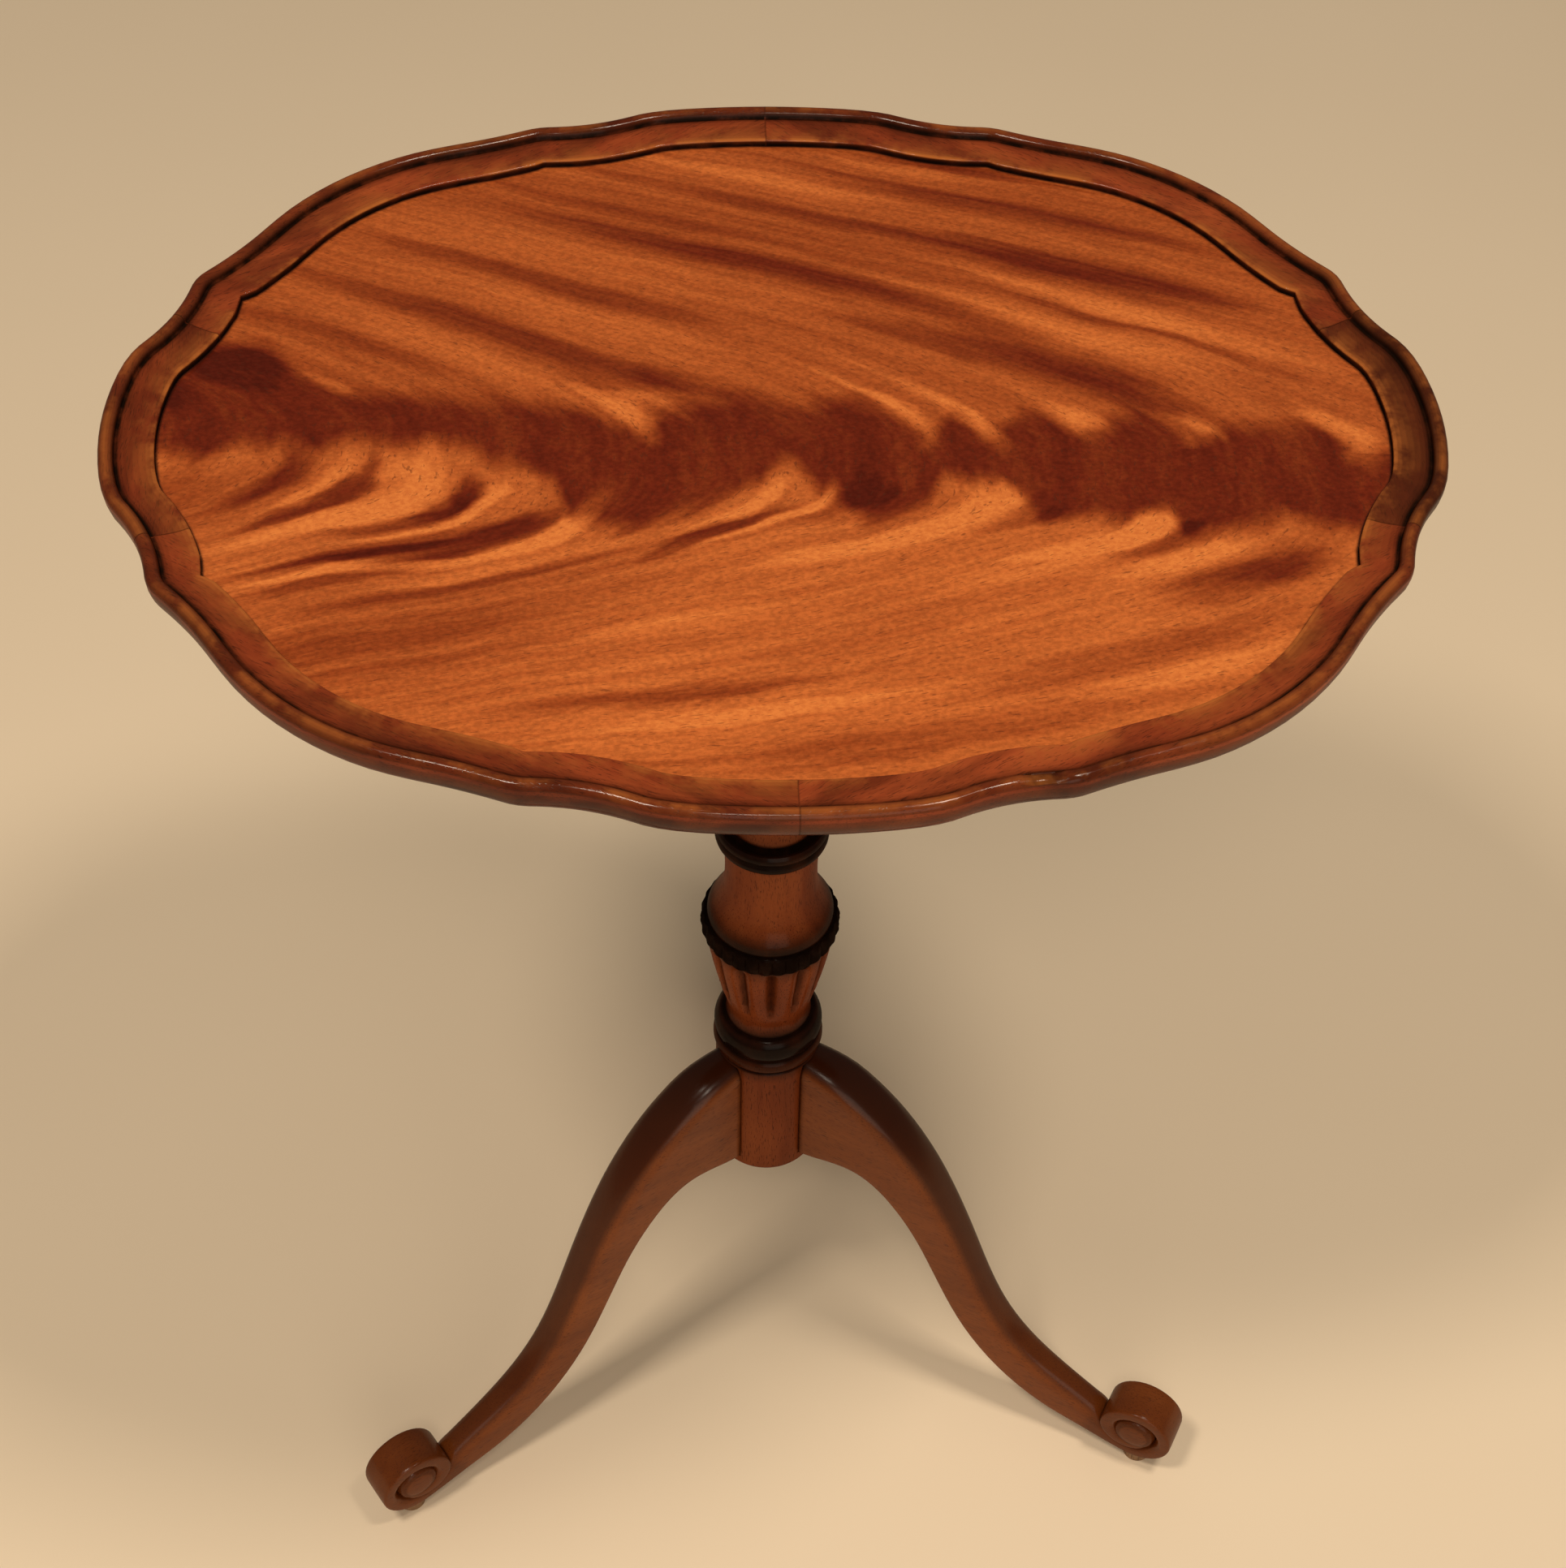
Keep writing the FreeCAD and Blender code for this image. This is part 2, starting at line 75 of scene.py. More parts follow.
def name_piece(name):
    piece = bpy.context.active_object
    piece.name = name
    piece.data.name = name
    return piece


def open_mesh(piece, kind="VERT"):
    """into edit mode with corners, edges or faces to choose"""
    pick_up(piece)
    bpy.ops.object.mode_set(mode="EDIT")
    bpy.ops.mesh.select_mode(type=kind)


def choose(piece, wanted, kind="VERT"):
    """picks the corners, edges or faces that pass the test, and says whether there are any"""
    bpy.ops.mesh.select_mode(type=kind)
    bpy.ops.mesh.select_all(action="DESELECT")
    mesh = bmesh.from_edit_mesh(piece.data)
    parts = {"VERT": mesh.verts, "EDGE": mesh.edges, "FACE": mesh.faces}[kind]
    found = [part for part in parts if wanted(part)]
    for part in found:
        part.select = True
    mesh.select_flush_mode()
    bmesh.update_edit_mesh(piece.data)
    return bool(found)


def choose_all():
    bpy.ops.mesh.select_all(action="SELECT")


def choose_ring(piece, ring):
    """picks corners by their numbers, and the face between them"""
    choose(piece, lambda v: v.index in ring)
    bpy.ops.mesh.select_mode(type="FACE")


def chosen_corners(piece):
    return [v for v in bmesh.from_edit_mesh(piece.data).verts if v.select]


def shift(by):
    """moves what is chosen"""
    bpy.ops.transform.translate(value=by)


def draw_out(by):
    """extrudes what is chosen"""
    bpy.ops.mesh.extrude_region_move(TRANSFORM_OT_translate={"value": by})


def swing(degrees, axis, middle=(0, 0, 0)):
    bpy.ops.transform.rotate(value=math.radians(degrees), orient_axis=axis, center_override=middle)


def stretch(by, middle=(0, 0, 0)):
    bpy.ops.transform.resize(value=by, center_override=middle)


def throw_away(piece):
    pick_up(piece)
    bpy.ops.object.delete()


def stain(piece, coat, amount):
    """sets a coat, such as grime with painted shade, or wear, on the chosen corners"""
    layer = bmesh.from_edit_mesh(piece.data).verts.layers.float[coat]
    for corner in chosen_corners(piece):
        corner[layer] = amount
    bmesh.update_edit_mesh(piece.data)


def add_coats(piece):
    """dirt with painted shade in recesses, wear, painted shade on leg tops and the rim's right end with
    darker toes, sharp corners and the run of the grain, as the materials read them
    """
    for coat_name in ("grime_and_shade", "worn", "shaded", "corner"):
        piece.data.attributes.new(coat_name, "FLOAT", "POINT")
    piece.data.attributes.new("grain", "FLOAT_VECTOR", "POINT")


def lay_grain(piece, angle, offset):
    """writes each corner's place in the board that the piece was cut from, for its grain to follow"""
    turn = Matrix.Rotation(math.radians(-angle), 3, "Z")
    grain = piece.data.attributes["grain"].data
    for corner, place in zip(piece.data.vertices, grain):
        place.vector = turn @ corner.co + offset


def copy_piece(piece, name):
    pick_up(piece)
    bpy.ops.object.duplicate()
    return name_piece(name)


def turn_about_column(piece, angle):
    piece.data.transform(Matrix.Rotation(math.radians(angle), 4, "Z"))


def close_up(piece, gap):
    """joins doubled corners and turns the faces outwards"""
    open_mesh(piece)
    choose_all()
    bpy.ops.mesh.remove_doubles(threshold=gap)
    bpy.ops.mesh.normals_make_consistent(inside=False)
    put_down()


def smooth(piece, angle):
    pick_up(piece)
    bpy.ops.object.shade_smooth_by_angle(angle=math.radians(angle))
    put_down()


def soften(piece):
    """subdivides the surface once and keeps the result"""
    pick_up(piece)
    rounding = piece.modifiers.new("rounding", "SUBSURF")
    rounding.levels = rounding.render_levels = 1
    bpy.ops.object.modifier_apply(modifier=rounding.name)
    put_down()


def coat_with(piece, material):
    piece.data.materials.clear()
    piece.data.materials.append(material)


def finish_piece(piece, material, node):
    """gives a piece its finish and puts it in the place of its CAD node"""
    coat_with(piece, material)
    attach(piece, "root")
    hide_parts(node)


# Materials

# Wood doesn't shine by itself under its polish, and little where it has none
UNDER_POLISH = 0.0
DRY_WOOD = 0.15
OTHER_SHINE = 0.5
# Share of its polish that a surface loses under grime and painted shade
POLISH_LOST = 0.9

# Nodes of the finish that is being mixed
tree = None


def start_material(name):
    global tree
    material = bpy.data.materials.new(name)
    material.use_nodes = True
    tree = material.node_tree
    tree.nodes.clear()
    return material


def add(kind, sockets=None, **settings):
    """adds a node; each socket named is linked to another node's output, or set to a value"""
    node = tree.nodes.new(kind)
    for key, value in settings.items():
        setattr(node, key, value)
    for key, value in (sockets or {}).items():
        if isinstance(value, bpy.types.NodeSocket):
            tree.links.new(value, node.inputs[key])
        else:
            node.inputs[key].default_value = value
    return node


def sum_of(operation, *values, clamp=False):
    return add("ShaderNodeMath", dict(enumerate(values)), operation=operation, use_clamp=clamp).outputs[0]


def plus(a, b):
    return sum_of("ADD", a, b)


def less(a, b):
    return sum_of("SUBTRACT", a, b)


def times(a, b):
    return sum_of("MULTIPLY", a, b)


def times_plus(a, b, c):
    return sum_of("MULTIPLY_ADD", a, b, c)


def vector_sum(operation, *values):
    return add("ShaderNodeVectorMath", dict(enumerate(values)), operation=operation).outputs[0]


def joined(x, y, z=0.0):
    return add("ShaderNodeCombineXYZ", {0: x, 1: y, 2: z}).outputs[0]


def parts_of(vector):
    return add("ShaderNodeSeparateXYZ", {0: vector}).outputs


def stretched(vector, scale, turn=(0, 0, 0)):
    return add("ShaderNodeMapping", {"Vector": vector, "Scale": scale, "Rotation": turn}).outputs[0]


def clouds(vector, scale, detail, roughness=0.55, colour=False):
    sockets = {"Vector": vector, "Scale": scale, "Detail": detail, "Roughness": roughness}
    return add("ShaderNodeTexNoise", sockets).outputs["Color" if colour else "Fac"]


def strays(place, scale, detail):
    """soft pulls this way and that, none of them favoured"""
    return vector_sum("SUBTRACT", clouds(place, scale, detail, 0.5, colour=True), (0.5, 0.5, 0.5))


def evenly(value, low, high):
    """spreads a range of values evenly over 0 to 1"""
    return add("ShaderNodeMapRange", {"Value": value, "From Min": low, "From Max": high}).outputs[0]


def between(value, low, high, to_low=0.0, to_high=1.0):
    """spreads a range of values over another, with soft ends"""
    sockets = {"Value": value, "From Min": low, "From Max": high, "To Min": to_low, "To Max": to_high}
    return add("ShaderNodeMapRange", sockets, interpolation_type="SMOOTHSTEP").outputs[0]


def scale_of(value, stops, interpolation="EASE"):
    """colour ramp from a list of (place, colour or grey)"""
    node = add("ShaderNodeValToRGB", {"Fac": value})
    node.color_ramp.interpolation = interpolation
    marks = node.color_ramp.elements
    while len(marks) < len(stops):
        marks.new(0.5)
    for mark, (place, tone) in zip(marks, stops):
        mark.position = place
        mark.color = (tone, tone, tone, 1) if isinstance(tone, float) else (*tone, 1)
    return node.outputs["Color"]


def mix_colour(amount, under, over, blend="MIX"):
    sockets = {"Factor": amount}
    for key, value in ((6, under), (7, over)):
        sockets[key] = (*value, 1) if isinstance(value, tuple) else value
    return add("ShaderNodeMix", sockets, data_type="RGBA", blend_type=blend).outputs[2]


def coat(name, output="Fac"):
    return add("ShaderNodeAttribute", attribute_name=name).outputs[output]


def bump(height, strength, distance):
    return add("ShaderNodeBump", {"Height": height, "Strength": strength, "Distance": distance}).outputs[0]


def surface(colour, roughness, normal=None, polish=0.0, polish_roughness=0.1, metallic=0.0, dirt_and_shade=None,
            shine=OTHER_SHINE):
    sockets = {"Base Color": colour, "Roughness": roughness, "Metallic": metallic,
               "Specular IOR Level": shine, "Coat Weight": polish, "Coat Roughness": polish_roughness}
    if dirt_and_shade is not None:
        sockets["Coat Weight"] = times_plus(dirt_and_shade, -POLISH_LOST * polish, polish)
    if normal is not None:
        sockets["Normal"] = normal
        if polish > 0:
            sockets["Coat Normal"] = normal
    shader = add("ShaderNodeBsdfPrincipled", sockets)
    add("ShaderNodeOutputMaterial", {"Surface": shader.outputs[0]})


def object_place():
    return add("ShaderNodeTexCoord").outputs["Object"]


def pores(place, length, width):
    """short open pores that lie along the grain, from 0 between them to 1 inside"""
    return between(clouds(stretched(place, (1 / length, 1 / width, 1 / width)), 1.0, 2.0, 0.5), 0.58, 0.66)


def flame_mahogany():
    """feather-figured veneer: plumes that leave the quill on both sides and sweep back to the left"""
    material = start_material("flame_mahogany")
    place = object_place()
    x, y = parts_of(vector_sum("MULTIPLY_ADD", strays(place, 13.0, 3.0), (0.014, 0.012, 0.0), place))[:2]
    across = evenly(x, VENEER_ENDS[0] * MM, VENEER_ENDS[1] * MM)

    # The quill falls slightly to the right; off is the distance above it
    off = less(y, times_plus(x, -0.042, -0.004))
    above = sum_of("GREATER_THAN", off, 0.0)
    bends = add("ShaderNodeSeparateColor", {0: scale_of(across, LOWER_BENDS, "LINEAR")}).outputs
    past = sum_of("MAXIMUM", times_plus(bends[2], -0.05, times(off, -1.0)), 0.0)
    swept_below = sweep(past, times(bends[0], 2.0), 0.014, times(bends[1], 30.0))
    swept_above = sweep(off, 1.6, 0.025, 6.5)
    along = plus(x, times_plus(less(swept_above, swept_below), above, swept_below))

    barb = joined(along, off)
    far = far_field(x, y)
    distance = evenly(off, -0.06, -0.042)
    fine = mix_colour(distance, clouds(stretched(far, (0.06, 1, 1)), 230.0, 4.0),
                      clouds(stretched(barb, (1.0, 0.16, 1)), 62.0, 4.0))
    finest = mix_colour(distance, clouds(stretched(far, (0.14, 1, 1)), 900.0, 3.0, 0.6),
                        clouds(stretched(barb, (1.0, 0.5, 1)), 330.0, 3.0, 0.6))

    # Dark heart along the quill, with soft tongues
    reach = times(mix_colour(above, scale_of(across, HEART_BELOW), scale_of(across, HEART_ABOVE)), 0.05)
    tongues = clouds(stretched(barb, (1.0, 0.3, 1)), 85.0, 2.0, 0.5)
    away = times_plus(tongues, 0.016, plus(sum_of("ABSOLUTE", off), -0.008))
    heart = between(less(away, reach), -0.007, 0.007, 1.0, 0.0)
    ground = times_plus(evenly(off, -0.012, 0.004), 0.17, 0.24)
    tone = times_plus(heart, less(0.84, ground), ground)

    # Single plumes, light and dark
    ragged = strays(barb, 70.0, 2.0)
    for plumes, way, pull in ((PLUMES, barb, (0.012, 0.024, 0.0)), (FAR_PLUMES, far, (0.03, 0.006, 0.0))):
        frayed = vector_sum("MULTIPLY_ADD", ragged, pull, way)
        for plume_x, plume_y, half_x, half_y, amount in plumes:
            size = (1 / (half_x * MM), 1 / (half_y * MM), 0)
            from_middle = vector_sum("MULTIPLY_ADD", frayed, size, (-plume_x / half_x, -plume_y / half_y, 0))
            spread = add("ShaderNodeVectorMath", {0: from_middle}, operation="LENGTH").outputs["Value"]
            tone = plus(tone, between(spread, 0.3, 1.45, amount, 0.0))
    tone = times_plus(fine, 0.55, plus(tone, -0.275))
    tone = sum_of("MULTIPLY_ADD", finest, 0.26, plus(tone, -0.13), clamp=True)

    colour = scale_of(tone, [
        (0.0, (0.62, 0.18, 0.042)),
        (0.15, (0.52, 0.136, 0.031)),
        (0.35, (0.385, 0.089, 0.02)),
        (0.55, (0.258, 0.05, 0.011)),
        (0.85, (0.128, 0.016, 0.0055)),
        (1.0, (0.075, 0.009, 0.004)),
    ], "LINEAR")
    # Mottle that shimmers across the plumes, pores, and at the rim dirt with a painted shadow line
    mottle = clouds(stretched(place, (1.0, 1.3, 1), (0, 0, -0.25)), 520.0, 3.0, 0.6)
    colour = mix_colour(0.5, colour, scale_of(mottle, [(0.32, 0.34), (0.68, 0.66)]), "OVERLAY")
    pore_line = mix_colour(sum_of("GREATER_THAN", distance, 0.5), stretched(far, (0, 2600, 0)),
                           times(along, 800.0))
    pore_place = joined(times(x, 260.0), pore_line, times(y, 420.0))
    open_pores = between(clouds(pore_place, 1.0, 2.0, 0.5), 0.6, 0.7)
    colour = mix_colour(times(open_pores, 0.5), colour, (0.07, 0.017, 0.008))
    # painted shadow: the grime coat darkens the veneer along the rim's inner wall, dirt and shadow together
    dirt_and_shade = times(coat("grime_and_shade"), between(fine, 0.2, 0.7, 0.7, 1.0))
    colour = mix_colour(dirt_and_shade, colour, (0.018, 0.006, 0.004))
    rough = times_plus(dirt_and_shade, 0.3, times_plus(mottle, 0.15, 0.32))
    relief = times_plus(clouds(place, 35.0, 2.0), 0.6, times(open_pores, -0.12))
    surface(colour, rough, bump(relief, 0.12, 0.0006), 0.2, 0.16, shine=UNDER_POLISH)
    return material


def far_field(x, y):
    """the fanned out streaks far below the quill: how far along, then which streak"""
    fan = sum_of("EXPONENT", times(x, -2.6))
    right = sum_of("MAXIMUM", x, 0.0)
    lift = times_plus(times(right, right), -0.65, 0.1827)
    return joined(x, times(plus(y, lift), fan))


def sweep(distance, pull, roundness, spread):
    """how far a plume has swept back at a distance from its root: rounded at first, then wider and wider"""
    square = times(distance, distance)
    arm = sum_of("SQRT", plus(square, roundness ** 2))
    return times_plus(square, spread, times(less(arm, roundness), pull))


def run_stops(ends, stops):
    """ramp stops from places in millimetres"""
    low, high = ends
    return [((place - low) / (high - low), tone) for place, tone in stops]


VENEER_ENDS = (-220, 220)
# How the plumes below the quill bend, from left to right: pull, spread and how low they turn back
LOWER_BENDS = run_stops(VENEER_ENDS, [
    (-200, (0.0, 0.87, 0.16)), (-140, (0.0, 0.87, 0.24)), (-100, (0.0, 0.87, 0.4)), (-70, (0.2, 0.87, 0.56)),
    (-45, (0.44, 0.86, 0.5)), (-20, (0.65, 0.84, 0.44)), (0, (0.65, 0.82, 0.4)), (60, (0.65, 0.8, 0.5)),
    (90, (0.6, 0.73, 0.57)), (118, (0.5, 0.63, 0.6)), (137, (0.4, 0.53, 0.59)), (155, (0.25, 0.43, 0.58)),
    (170, (0.2, 0.38, 0.57)), (220, (0.1, 0.33, 0.56)),
])
# How far the dark heart reaches from the quill, as a share of 50 mm
HEART_ABOVE = run_stops(VENEER_ENDS, [
    (-205, 0.4), (-185, 0.78), (-168, 0.82), (-152, 0.5), (-132, 0.32), (-105, 0.36), (-85, 0.34), (-66, 0.3),
    (-50, 0.12), (-30, 0.32), (-10, 0.42), (8, 0.3), (25, 0.46), (40, 0.2), (50, 0.12), (58, 0.32), (70, 0.1),
    (82, 0.34), (98, 0.16), (118, 0.32), (136, 0.08), (152, 0.24), (178, 0.26), (194, 0.02),
])
HEART_BELOW = run_stops(VENEER_ENDS, [
    (-200, 0.22), (-150, 0.14), (-120, 0.12), (-100, 0.1), (-86, 0.28), (-74, 0.4), (-64, 0.84), (-45, 0.88),
    (-28, 0.72), (-12, 0.46), (0, 0.24), (12, 0.5), (28, 0.74), (44, 0.58), (54, 0.3), (68, 0.44), (82, 0.72),
    (105, 0.72), (120, 0.64), (132, 0.84), (148, 0.78), (162, 0.66), (178, 0.74), (195, 0.86),
])
# Plumes: where each lies along the quill and off it, its half sizes, and how much darker it is
PLUMES = [
    # above the quill
    (-20, 50, 15, 30, 0.3), (-8, 27, 14, 9, 0.22), (60, 78, 15, 20, 0.26), (160, 86, 18, 34, 0.4),
    (140, 36, 18, 22, 0.4), (118, 52, 10, 16, 0.2), (273, 92, 24, 18, 0.42), (262, 122, 13, 18, 0.3),
    (352, 126, 18, 22, 0.36), (-86, 46, 9, 20, 0.2), (-195, 22, 18, 12, 0.24), (215, 92, 50, 40, 0.08),
    (-150, 34, 26, 11, 0.28), (212, 60, 5, 22, 0.26),
    (196, 118, 18, 14, 0.14), (416, 150, 12, 9, 0.35), (186, 58, 20, 24, -0.3), (231, 68, 14, 22, -0.34),
    (100, 92, 28, 26, -0.12), (315, 140, 14, 14, -0.26), (390, 146, 12, 10, -0.22), (22, 62, 18, 26, -0.12),
    (-58, 42, 14, 24, -0.14), (48, 13, 5, 17, -0.4), (69, 15, 6, 19, -0.4), (-44, 14, 6, 15, -0.42),
    (105, 16, 7, 8, -0.32), (142, 11, 6, 6, -0.34), (192, 10, 8, 13, -0.4), (-32, 18, 8, 4, -0.22),
    (-128, 20, 5, 6, -0.3),
    # below the quill
    (-120, -34, 55, 26, 0.14), (-178, -36, 28, 24, 0.2),
    (-152, -22, 6, 15, 0.36), (-129, -31, 5, 17, 0.52), (-98, -33, 5, 17, 0.58), (-72, -49, 9, 16, 0.56),
    (5, -43, 9, 12, 0.52), (32, -29, 18, 9, 0.2), (82, -36, 7, 9, 0.3), (134, -46, 7, 9, 0.4),
    (174, -57, 11, 9, 0.3), (-137, -26, 4, 15, -0.3), (-114, -35, 10, 25, -0.48), (-91, -37, 4, 17, -0.42),
    (-57, -49, 7, 26, -0.44), (-3, -31, 5, 14, -0.5), (16, -37, 4, 13, -0.44), (65, -41, 10, 18, -0.4),
    (118, -45, 8, 10, -0.46), (150, -53, 12, 9, -0.26),
]
# Streaks far below the quill: how far along and which streak, half sizes, and how much darker
FAR_PLUMES = [
    (-130, 177, 45, 5, 0.3), (-135, 162, 35, 5, 0.3), (-130, 170, 35, 2.5, -0.18), (-85, 150, 45, 3.5, -0.2),
    (-95, 143.7, 55, 3, 0.28), (-130, 123, 45, 10, 0.18), (-120, 104, 40, 5, 0.12), (-40, 101, 30, 5, -0.12),
    (-40, 69.6, 52, 4.5, 0.3), (-10, 57.2, 60, 4, -0.28), (30, 38.9, 75, 6, 0.22), (110, 53.9, 55, 5, 0.22),
    (-115, 128, 75, 44, 0.17),
    (125, 44.4, 35, 3.5, -0.2), (143, 68.5, 30, 7, 0.28), (80, 93, 35, 5, -0.15), (20, 82, 60, 6, 0.08),
]

WORN_WOOD = (0.38, 0.115, 0.024)
GRIME_AND_SHADE = (0.007, 0.0032, 0.0018)
UPRIGHT = (0, math.pi / 2, 0)


def solid_mahogany(name, dark, middle, light, polish, polish_roughness, by_grain=True, tone_and_shade_by_height=None,
                   plain=0.0, mottled=0.0):
    """polished mahogany with dark lines, pores, grime and painted shade in the quirks, darker tone and
    painted shade by height, painted shade where set, and wear on the edges
    """
    material = start_material(name)
    place = coat("grain", "Vector") if by_grain else stretched(object_place(), (1, 1, 1), UPRIGHT)
    place = vector_sum("MULTIPLY_ADD", strays(place, 14.0, 2.0), (0.0, 0.008, 0.008), place)
    lines = clouds(stretched(place, (7, 95, 95)), 1.0, 6.0, 0.62)
    broad = clouds(stretched(place, (9, 30, 30)), 1.0, 2.0, 0.5)
    tone = times_plus(broad, 0.5, times(lines, 0.5))
    colour = scale_of(tone, [(0.34 - plain, dark), (0.5, middle), (0.64 + plain, light)], "LINEAR")
    if mottled > 0:
        patches = clouds(stretched(place, (22, 75, 75)), 1.0, 4.0, 0.6)
        colour = mix_colour(between(patches, 0.42, 0.66, 0.0, mottled), colour, (0.03, 0.005, 0.0015))
    open_pores = pores(place, 0.004, 0.00036)
    colour = mix_colour(times(open_pores, 0.6), colour, (0.03, 0.007, 0.003))
    # painted shade by height under overhangs, together with darker tone in the turned rings and on the lip
    # crest
    if tone_and_shade_by_height:
        ends = tone_and_shade_by_height[0][0], tone_and_shade_by_height[-1][0]
        height = evenly(parts_of(object_place())[2], ends[0] * MM, ends[1] * MM)
        shade = scale_of(height, run_stops(ends, tone_and_shade_by_height), "LINEAR")
        patchy = between(clouds(place, 60.0, 3.0), 0.3, 0.6, 0.88, 1.0)
        colour = mix_colour(times(shade, patchy), colour, (0.008, 0.0032, 0.0018))
    # painted shade: leg tops in the shadow of the table top and the rim's right end; the toes darker as a
    # whole
    colour = mix_colour(coat("shaded"), colour, (0.042, 0.009, 0.0024))
    rubbed = between(clouds(place, 55.0, 4.0, 0.65), 0.38, 0.62)
    colour = mix_colour(times(coat("worn"), rubbed), colour, WORN_WOOD)
    caught = between(clouds(place, 120.0, 3.0, 0.6), 0.25, 0.6, 0.72, 1.0)
    # dirt in quirks, joints and grooves, with painted shadow at the rim's inner wall and under the column's
    # beads
    dirt_and_shade = times(coat("grime_and_shade"), caught)
    colour = mix_colour(dirt_and_shade, colour, GRIME_AND_SHADE)
    rough = times_plus(dirt_and_shade, 0.3, times_plus(broad, 0.2, 0.25))
    relief = times_plus(clouds(place, 45.0, 3.0), 0.8, times(open_pores, -0.15))
    surface(colour, rough, bump(relief, 0.16, 0.0007), polish, polish_roughness, dirt_and_shade=dirt_and_shade,
            shine=UNDER_POLISH)
    return material


def plain_wood(name, dark, light, turn=(0, 0, 0)):
    """unpolished wood with saw marks and fibres"""
    material = start_material(name)
    place = stretched(object_place(), (1, 1, 1), turn)
    lines = clouds(stretched(place, (10, 140, 140)), 1.0, 6.0, 0.65)
    broad = clouds(stretched(place, (6, 24, 24)), 1.0, 3.0, 0.6)
    tone = times_plus(broad, 0.55, times(lines, 0.45))
    colour = scale_of(tone, [(0.36, dark), (0.64, light)], "LINEAR")
    open_pores = pores(place, 0.0045, 0.0004)
    colour = mix_colour(times(open_pores, 0.6), colour, tuple(c * 0.3 for c in dark))
    marks = clouds(place, 25.0, 4.0, 0.6)
    colour = mix_colour(between(marks, 0.5, 0.75, 0.0, 0.4), colour, tuple(c * 0.5 for c in dark))
    relief = times_plus(lines, 0.6, times(open_pores, -0.4))
    surface(colour, times_plus(marks, 0.3, 0.45), bump(relief, 0.3, 0.0005), shine=DRY_WOOD)
    return material


def old_metal(name, bright, stained, roughness, stain_amount):
    """metal with a mottled film of tarnish or rust"""
    material = start_material(name)
    film = clouds(object_place(), 420.0, 5.0, 0.65)
    amount = between(film, 0.62 - stain_amount * 0.4, 0.78 - stain_amount * 0.4)
    colour = mix_colour(amount, bright, stained)
    surface(colour, times_plus(amount, 0.35, roughness), bump(film, 0.25, 0.0002), metallic=0.9)
    return material


def pale_floor():
    material = start_material("pale_floor")
    tint = clouds(object_place(), 3.0, 2.0)
    surface(scale_of(tint, [(0.3, (0.9, 0.755, 0.56)), (0.7, (0.92, 0.775, 0.58))], "LINEAR"), 0.8)
    return material


# Piecrust outline: corners and middles of the first quarter, in millimetres, from the right end's
# knuckle round to the back
HALF_LENGTH = 217.2
HALF_WIDTH = 173.5
CORNER_SHARES = [
    (0.975, 0.209), (0.898, 0.428), (0.8, 0.584), (0.52, 0.862), (0.375, 0.927), (0.197, 0.981),
]
MIDDLE_SHARES = [(0.922, 0.313), (0.845, 0.503), (0.681, 0.757), (0.447, 0.891), (0.283, 0.939)]
SLICES = 12
LIP_HEIGHT = 517.5 * MM
BLANK_DEPTH = 0.2 * MM


def crust_ring():
    """corners and middles all round, anticlockwise"""
    corners, middles = [], []
    for sign_x, sign_y, backwards in ((1, 1, False), (-1, 1, True), (-1, -1, False), (1, -1, True)):
        quarter = [[Vector((sign_x * HALF_LENGTH * a, sign_y * HALF_WIDTH * b)) * MM for a, b in shares]
                   for shares in (CORNER_SHARES, MIDDLE_SHARES)]
        last = Vector((0, sign_y * HALF_WIDTH)) * MM
        if backwards:
            for row in quarter:
                row.reverse()
            last = Vector((sign_x * HALF_LENGTH, 0)) * MM
        corners += quarter[0]
        middles += quarter[1] + [last]
    return corners, middles


def arc_places(a, m, b, count_for):
    """places in equal turns along the arc through three places, with both its ends"""
    p, q = m - a, b - a
    cross = 2 * (p.x * q.y - p.y * q.x)
    square_p, square_q = p.length_squared, q.length_squared
    centre = a + Vector((q.y * square_p - p.y * square_q, p.x * square_q - q.x * square_p)) / cross
    spoke = a - centre
    turn = spoke.angle_signed(b - centre)
    count = count_for(abs(turn), spoke.length)
    places = []
    for k in range(count + 1):
        turned = spoke.copy()
        turned.rotate(Matrix.Rotation(-turn * k / count, 2))
        places.append(centre + turned)
    return places


def crust_places():
    """places all round the outline, as many to each arc"""
    corners, middles = crust_ring()
    places = []
    for a, m, b in zip(corners, middles, corners[1:] + corners[:1]):
        places += arc_places(a, m, b, lambda turn, radius: SLICES)[:-1]
    # The corners are rubbed soft by wear
    for beyond, wear in ((0, 0.6), (1, 0.4), (-1, 0.4), (0, 0.4)):
        for i in range(0, len(places), SLICES):
            k = (i + beyond) % len(places)
            beside = (places[k - 1] + places[(k + 1) % len(places)]) / 2
            places[k] = places[k].lerp(beside, wear)
    return places


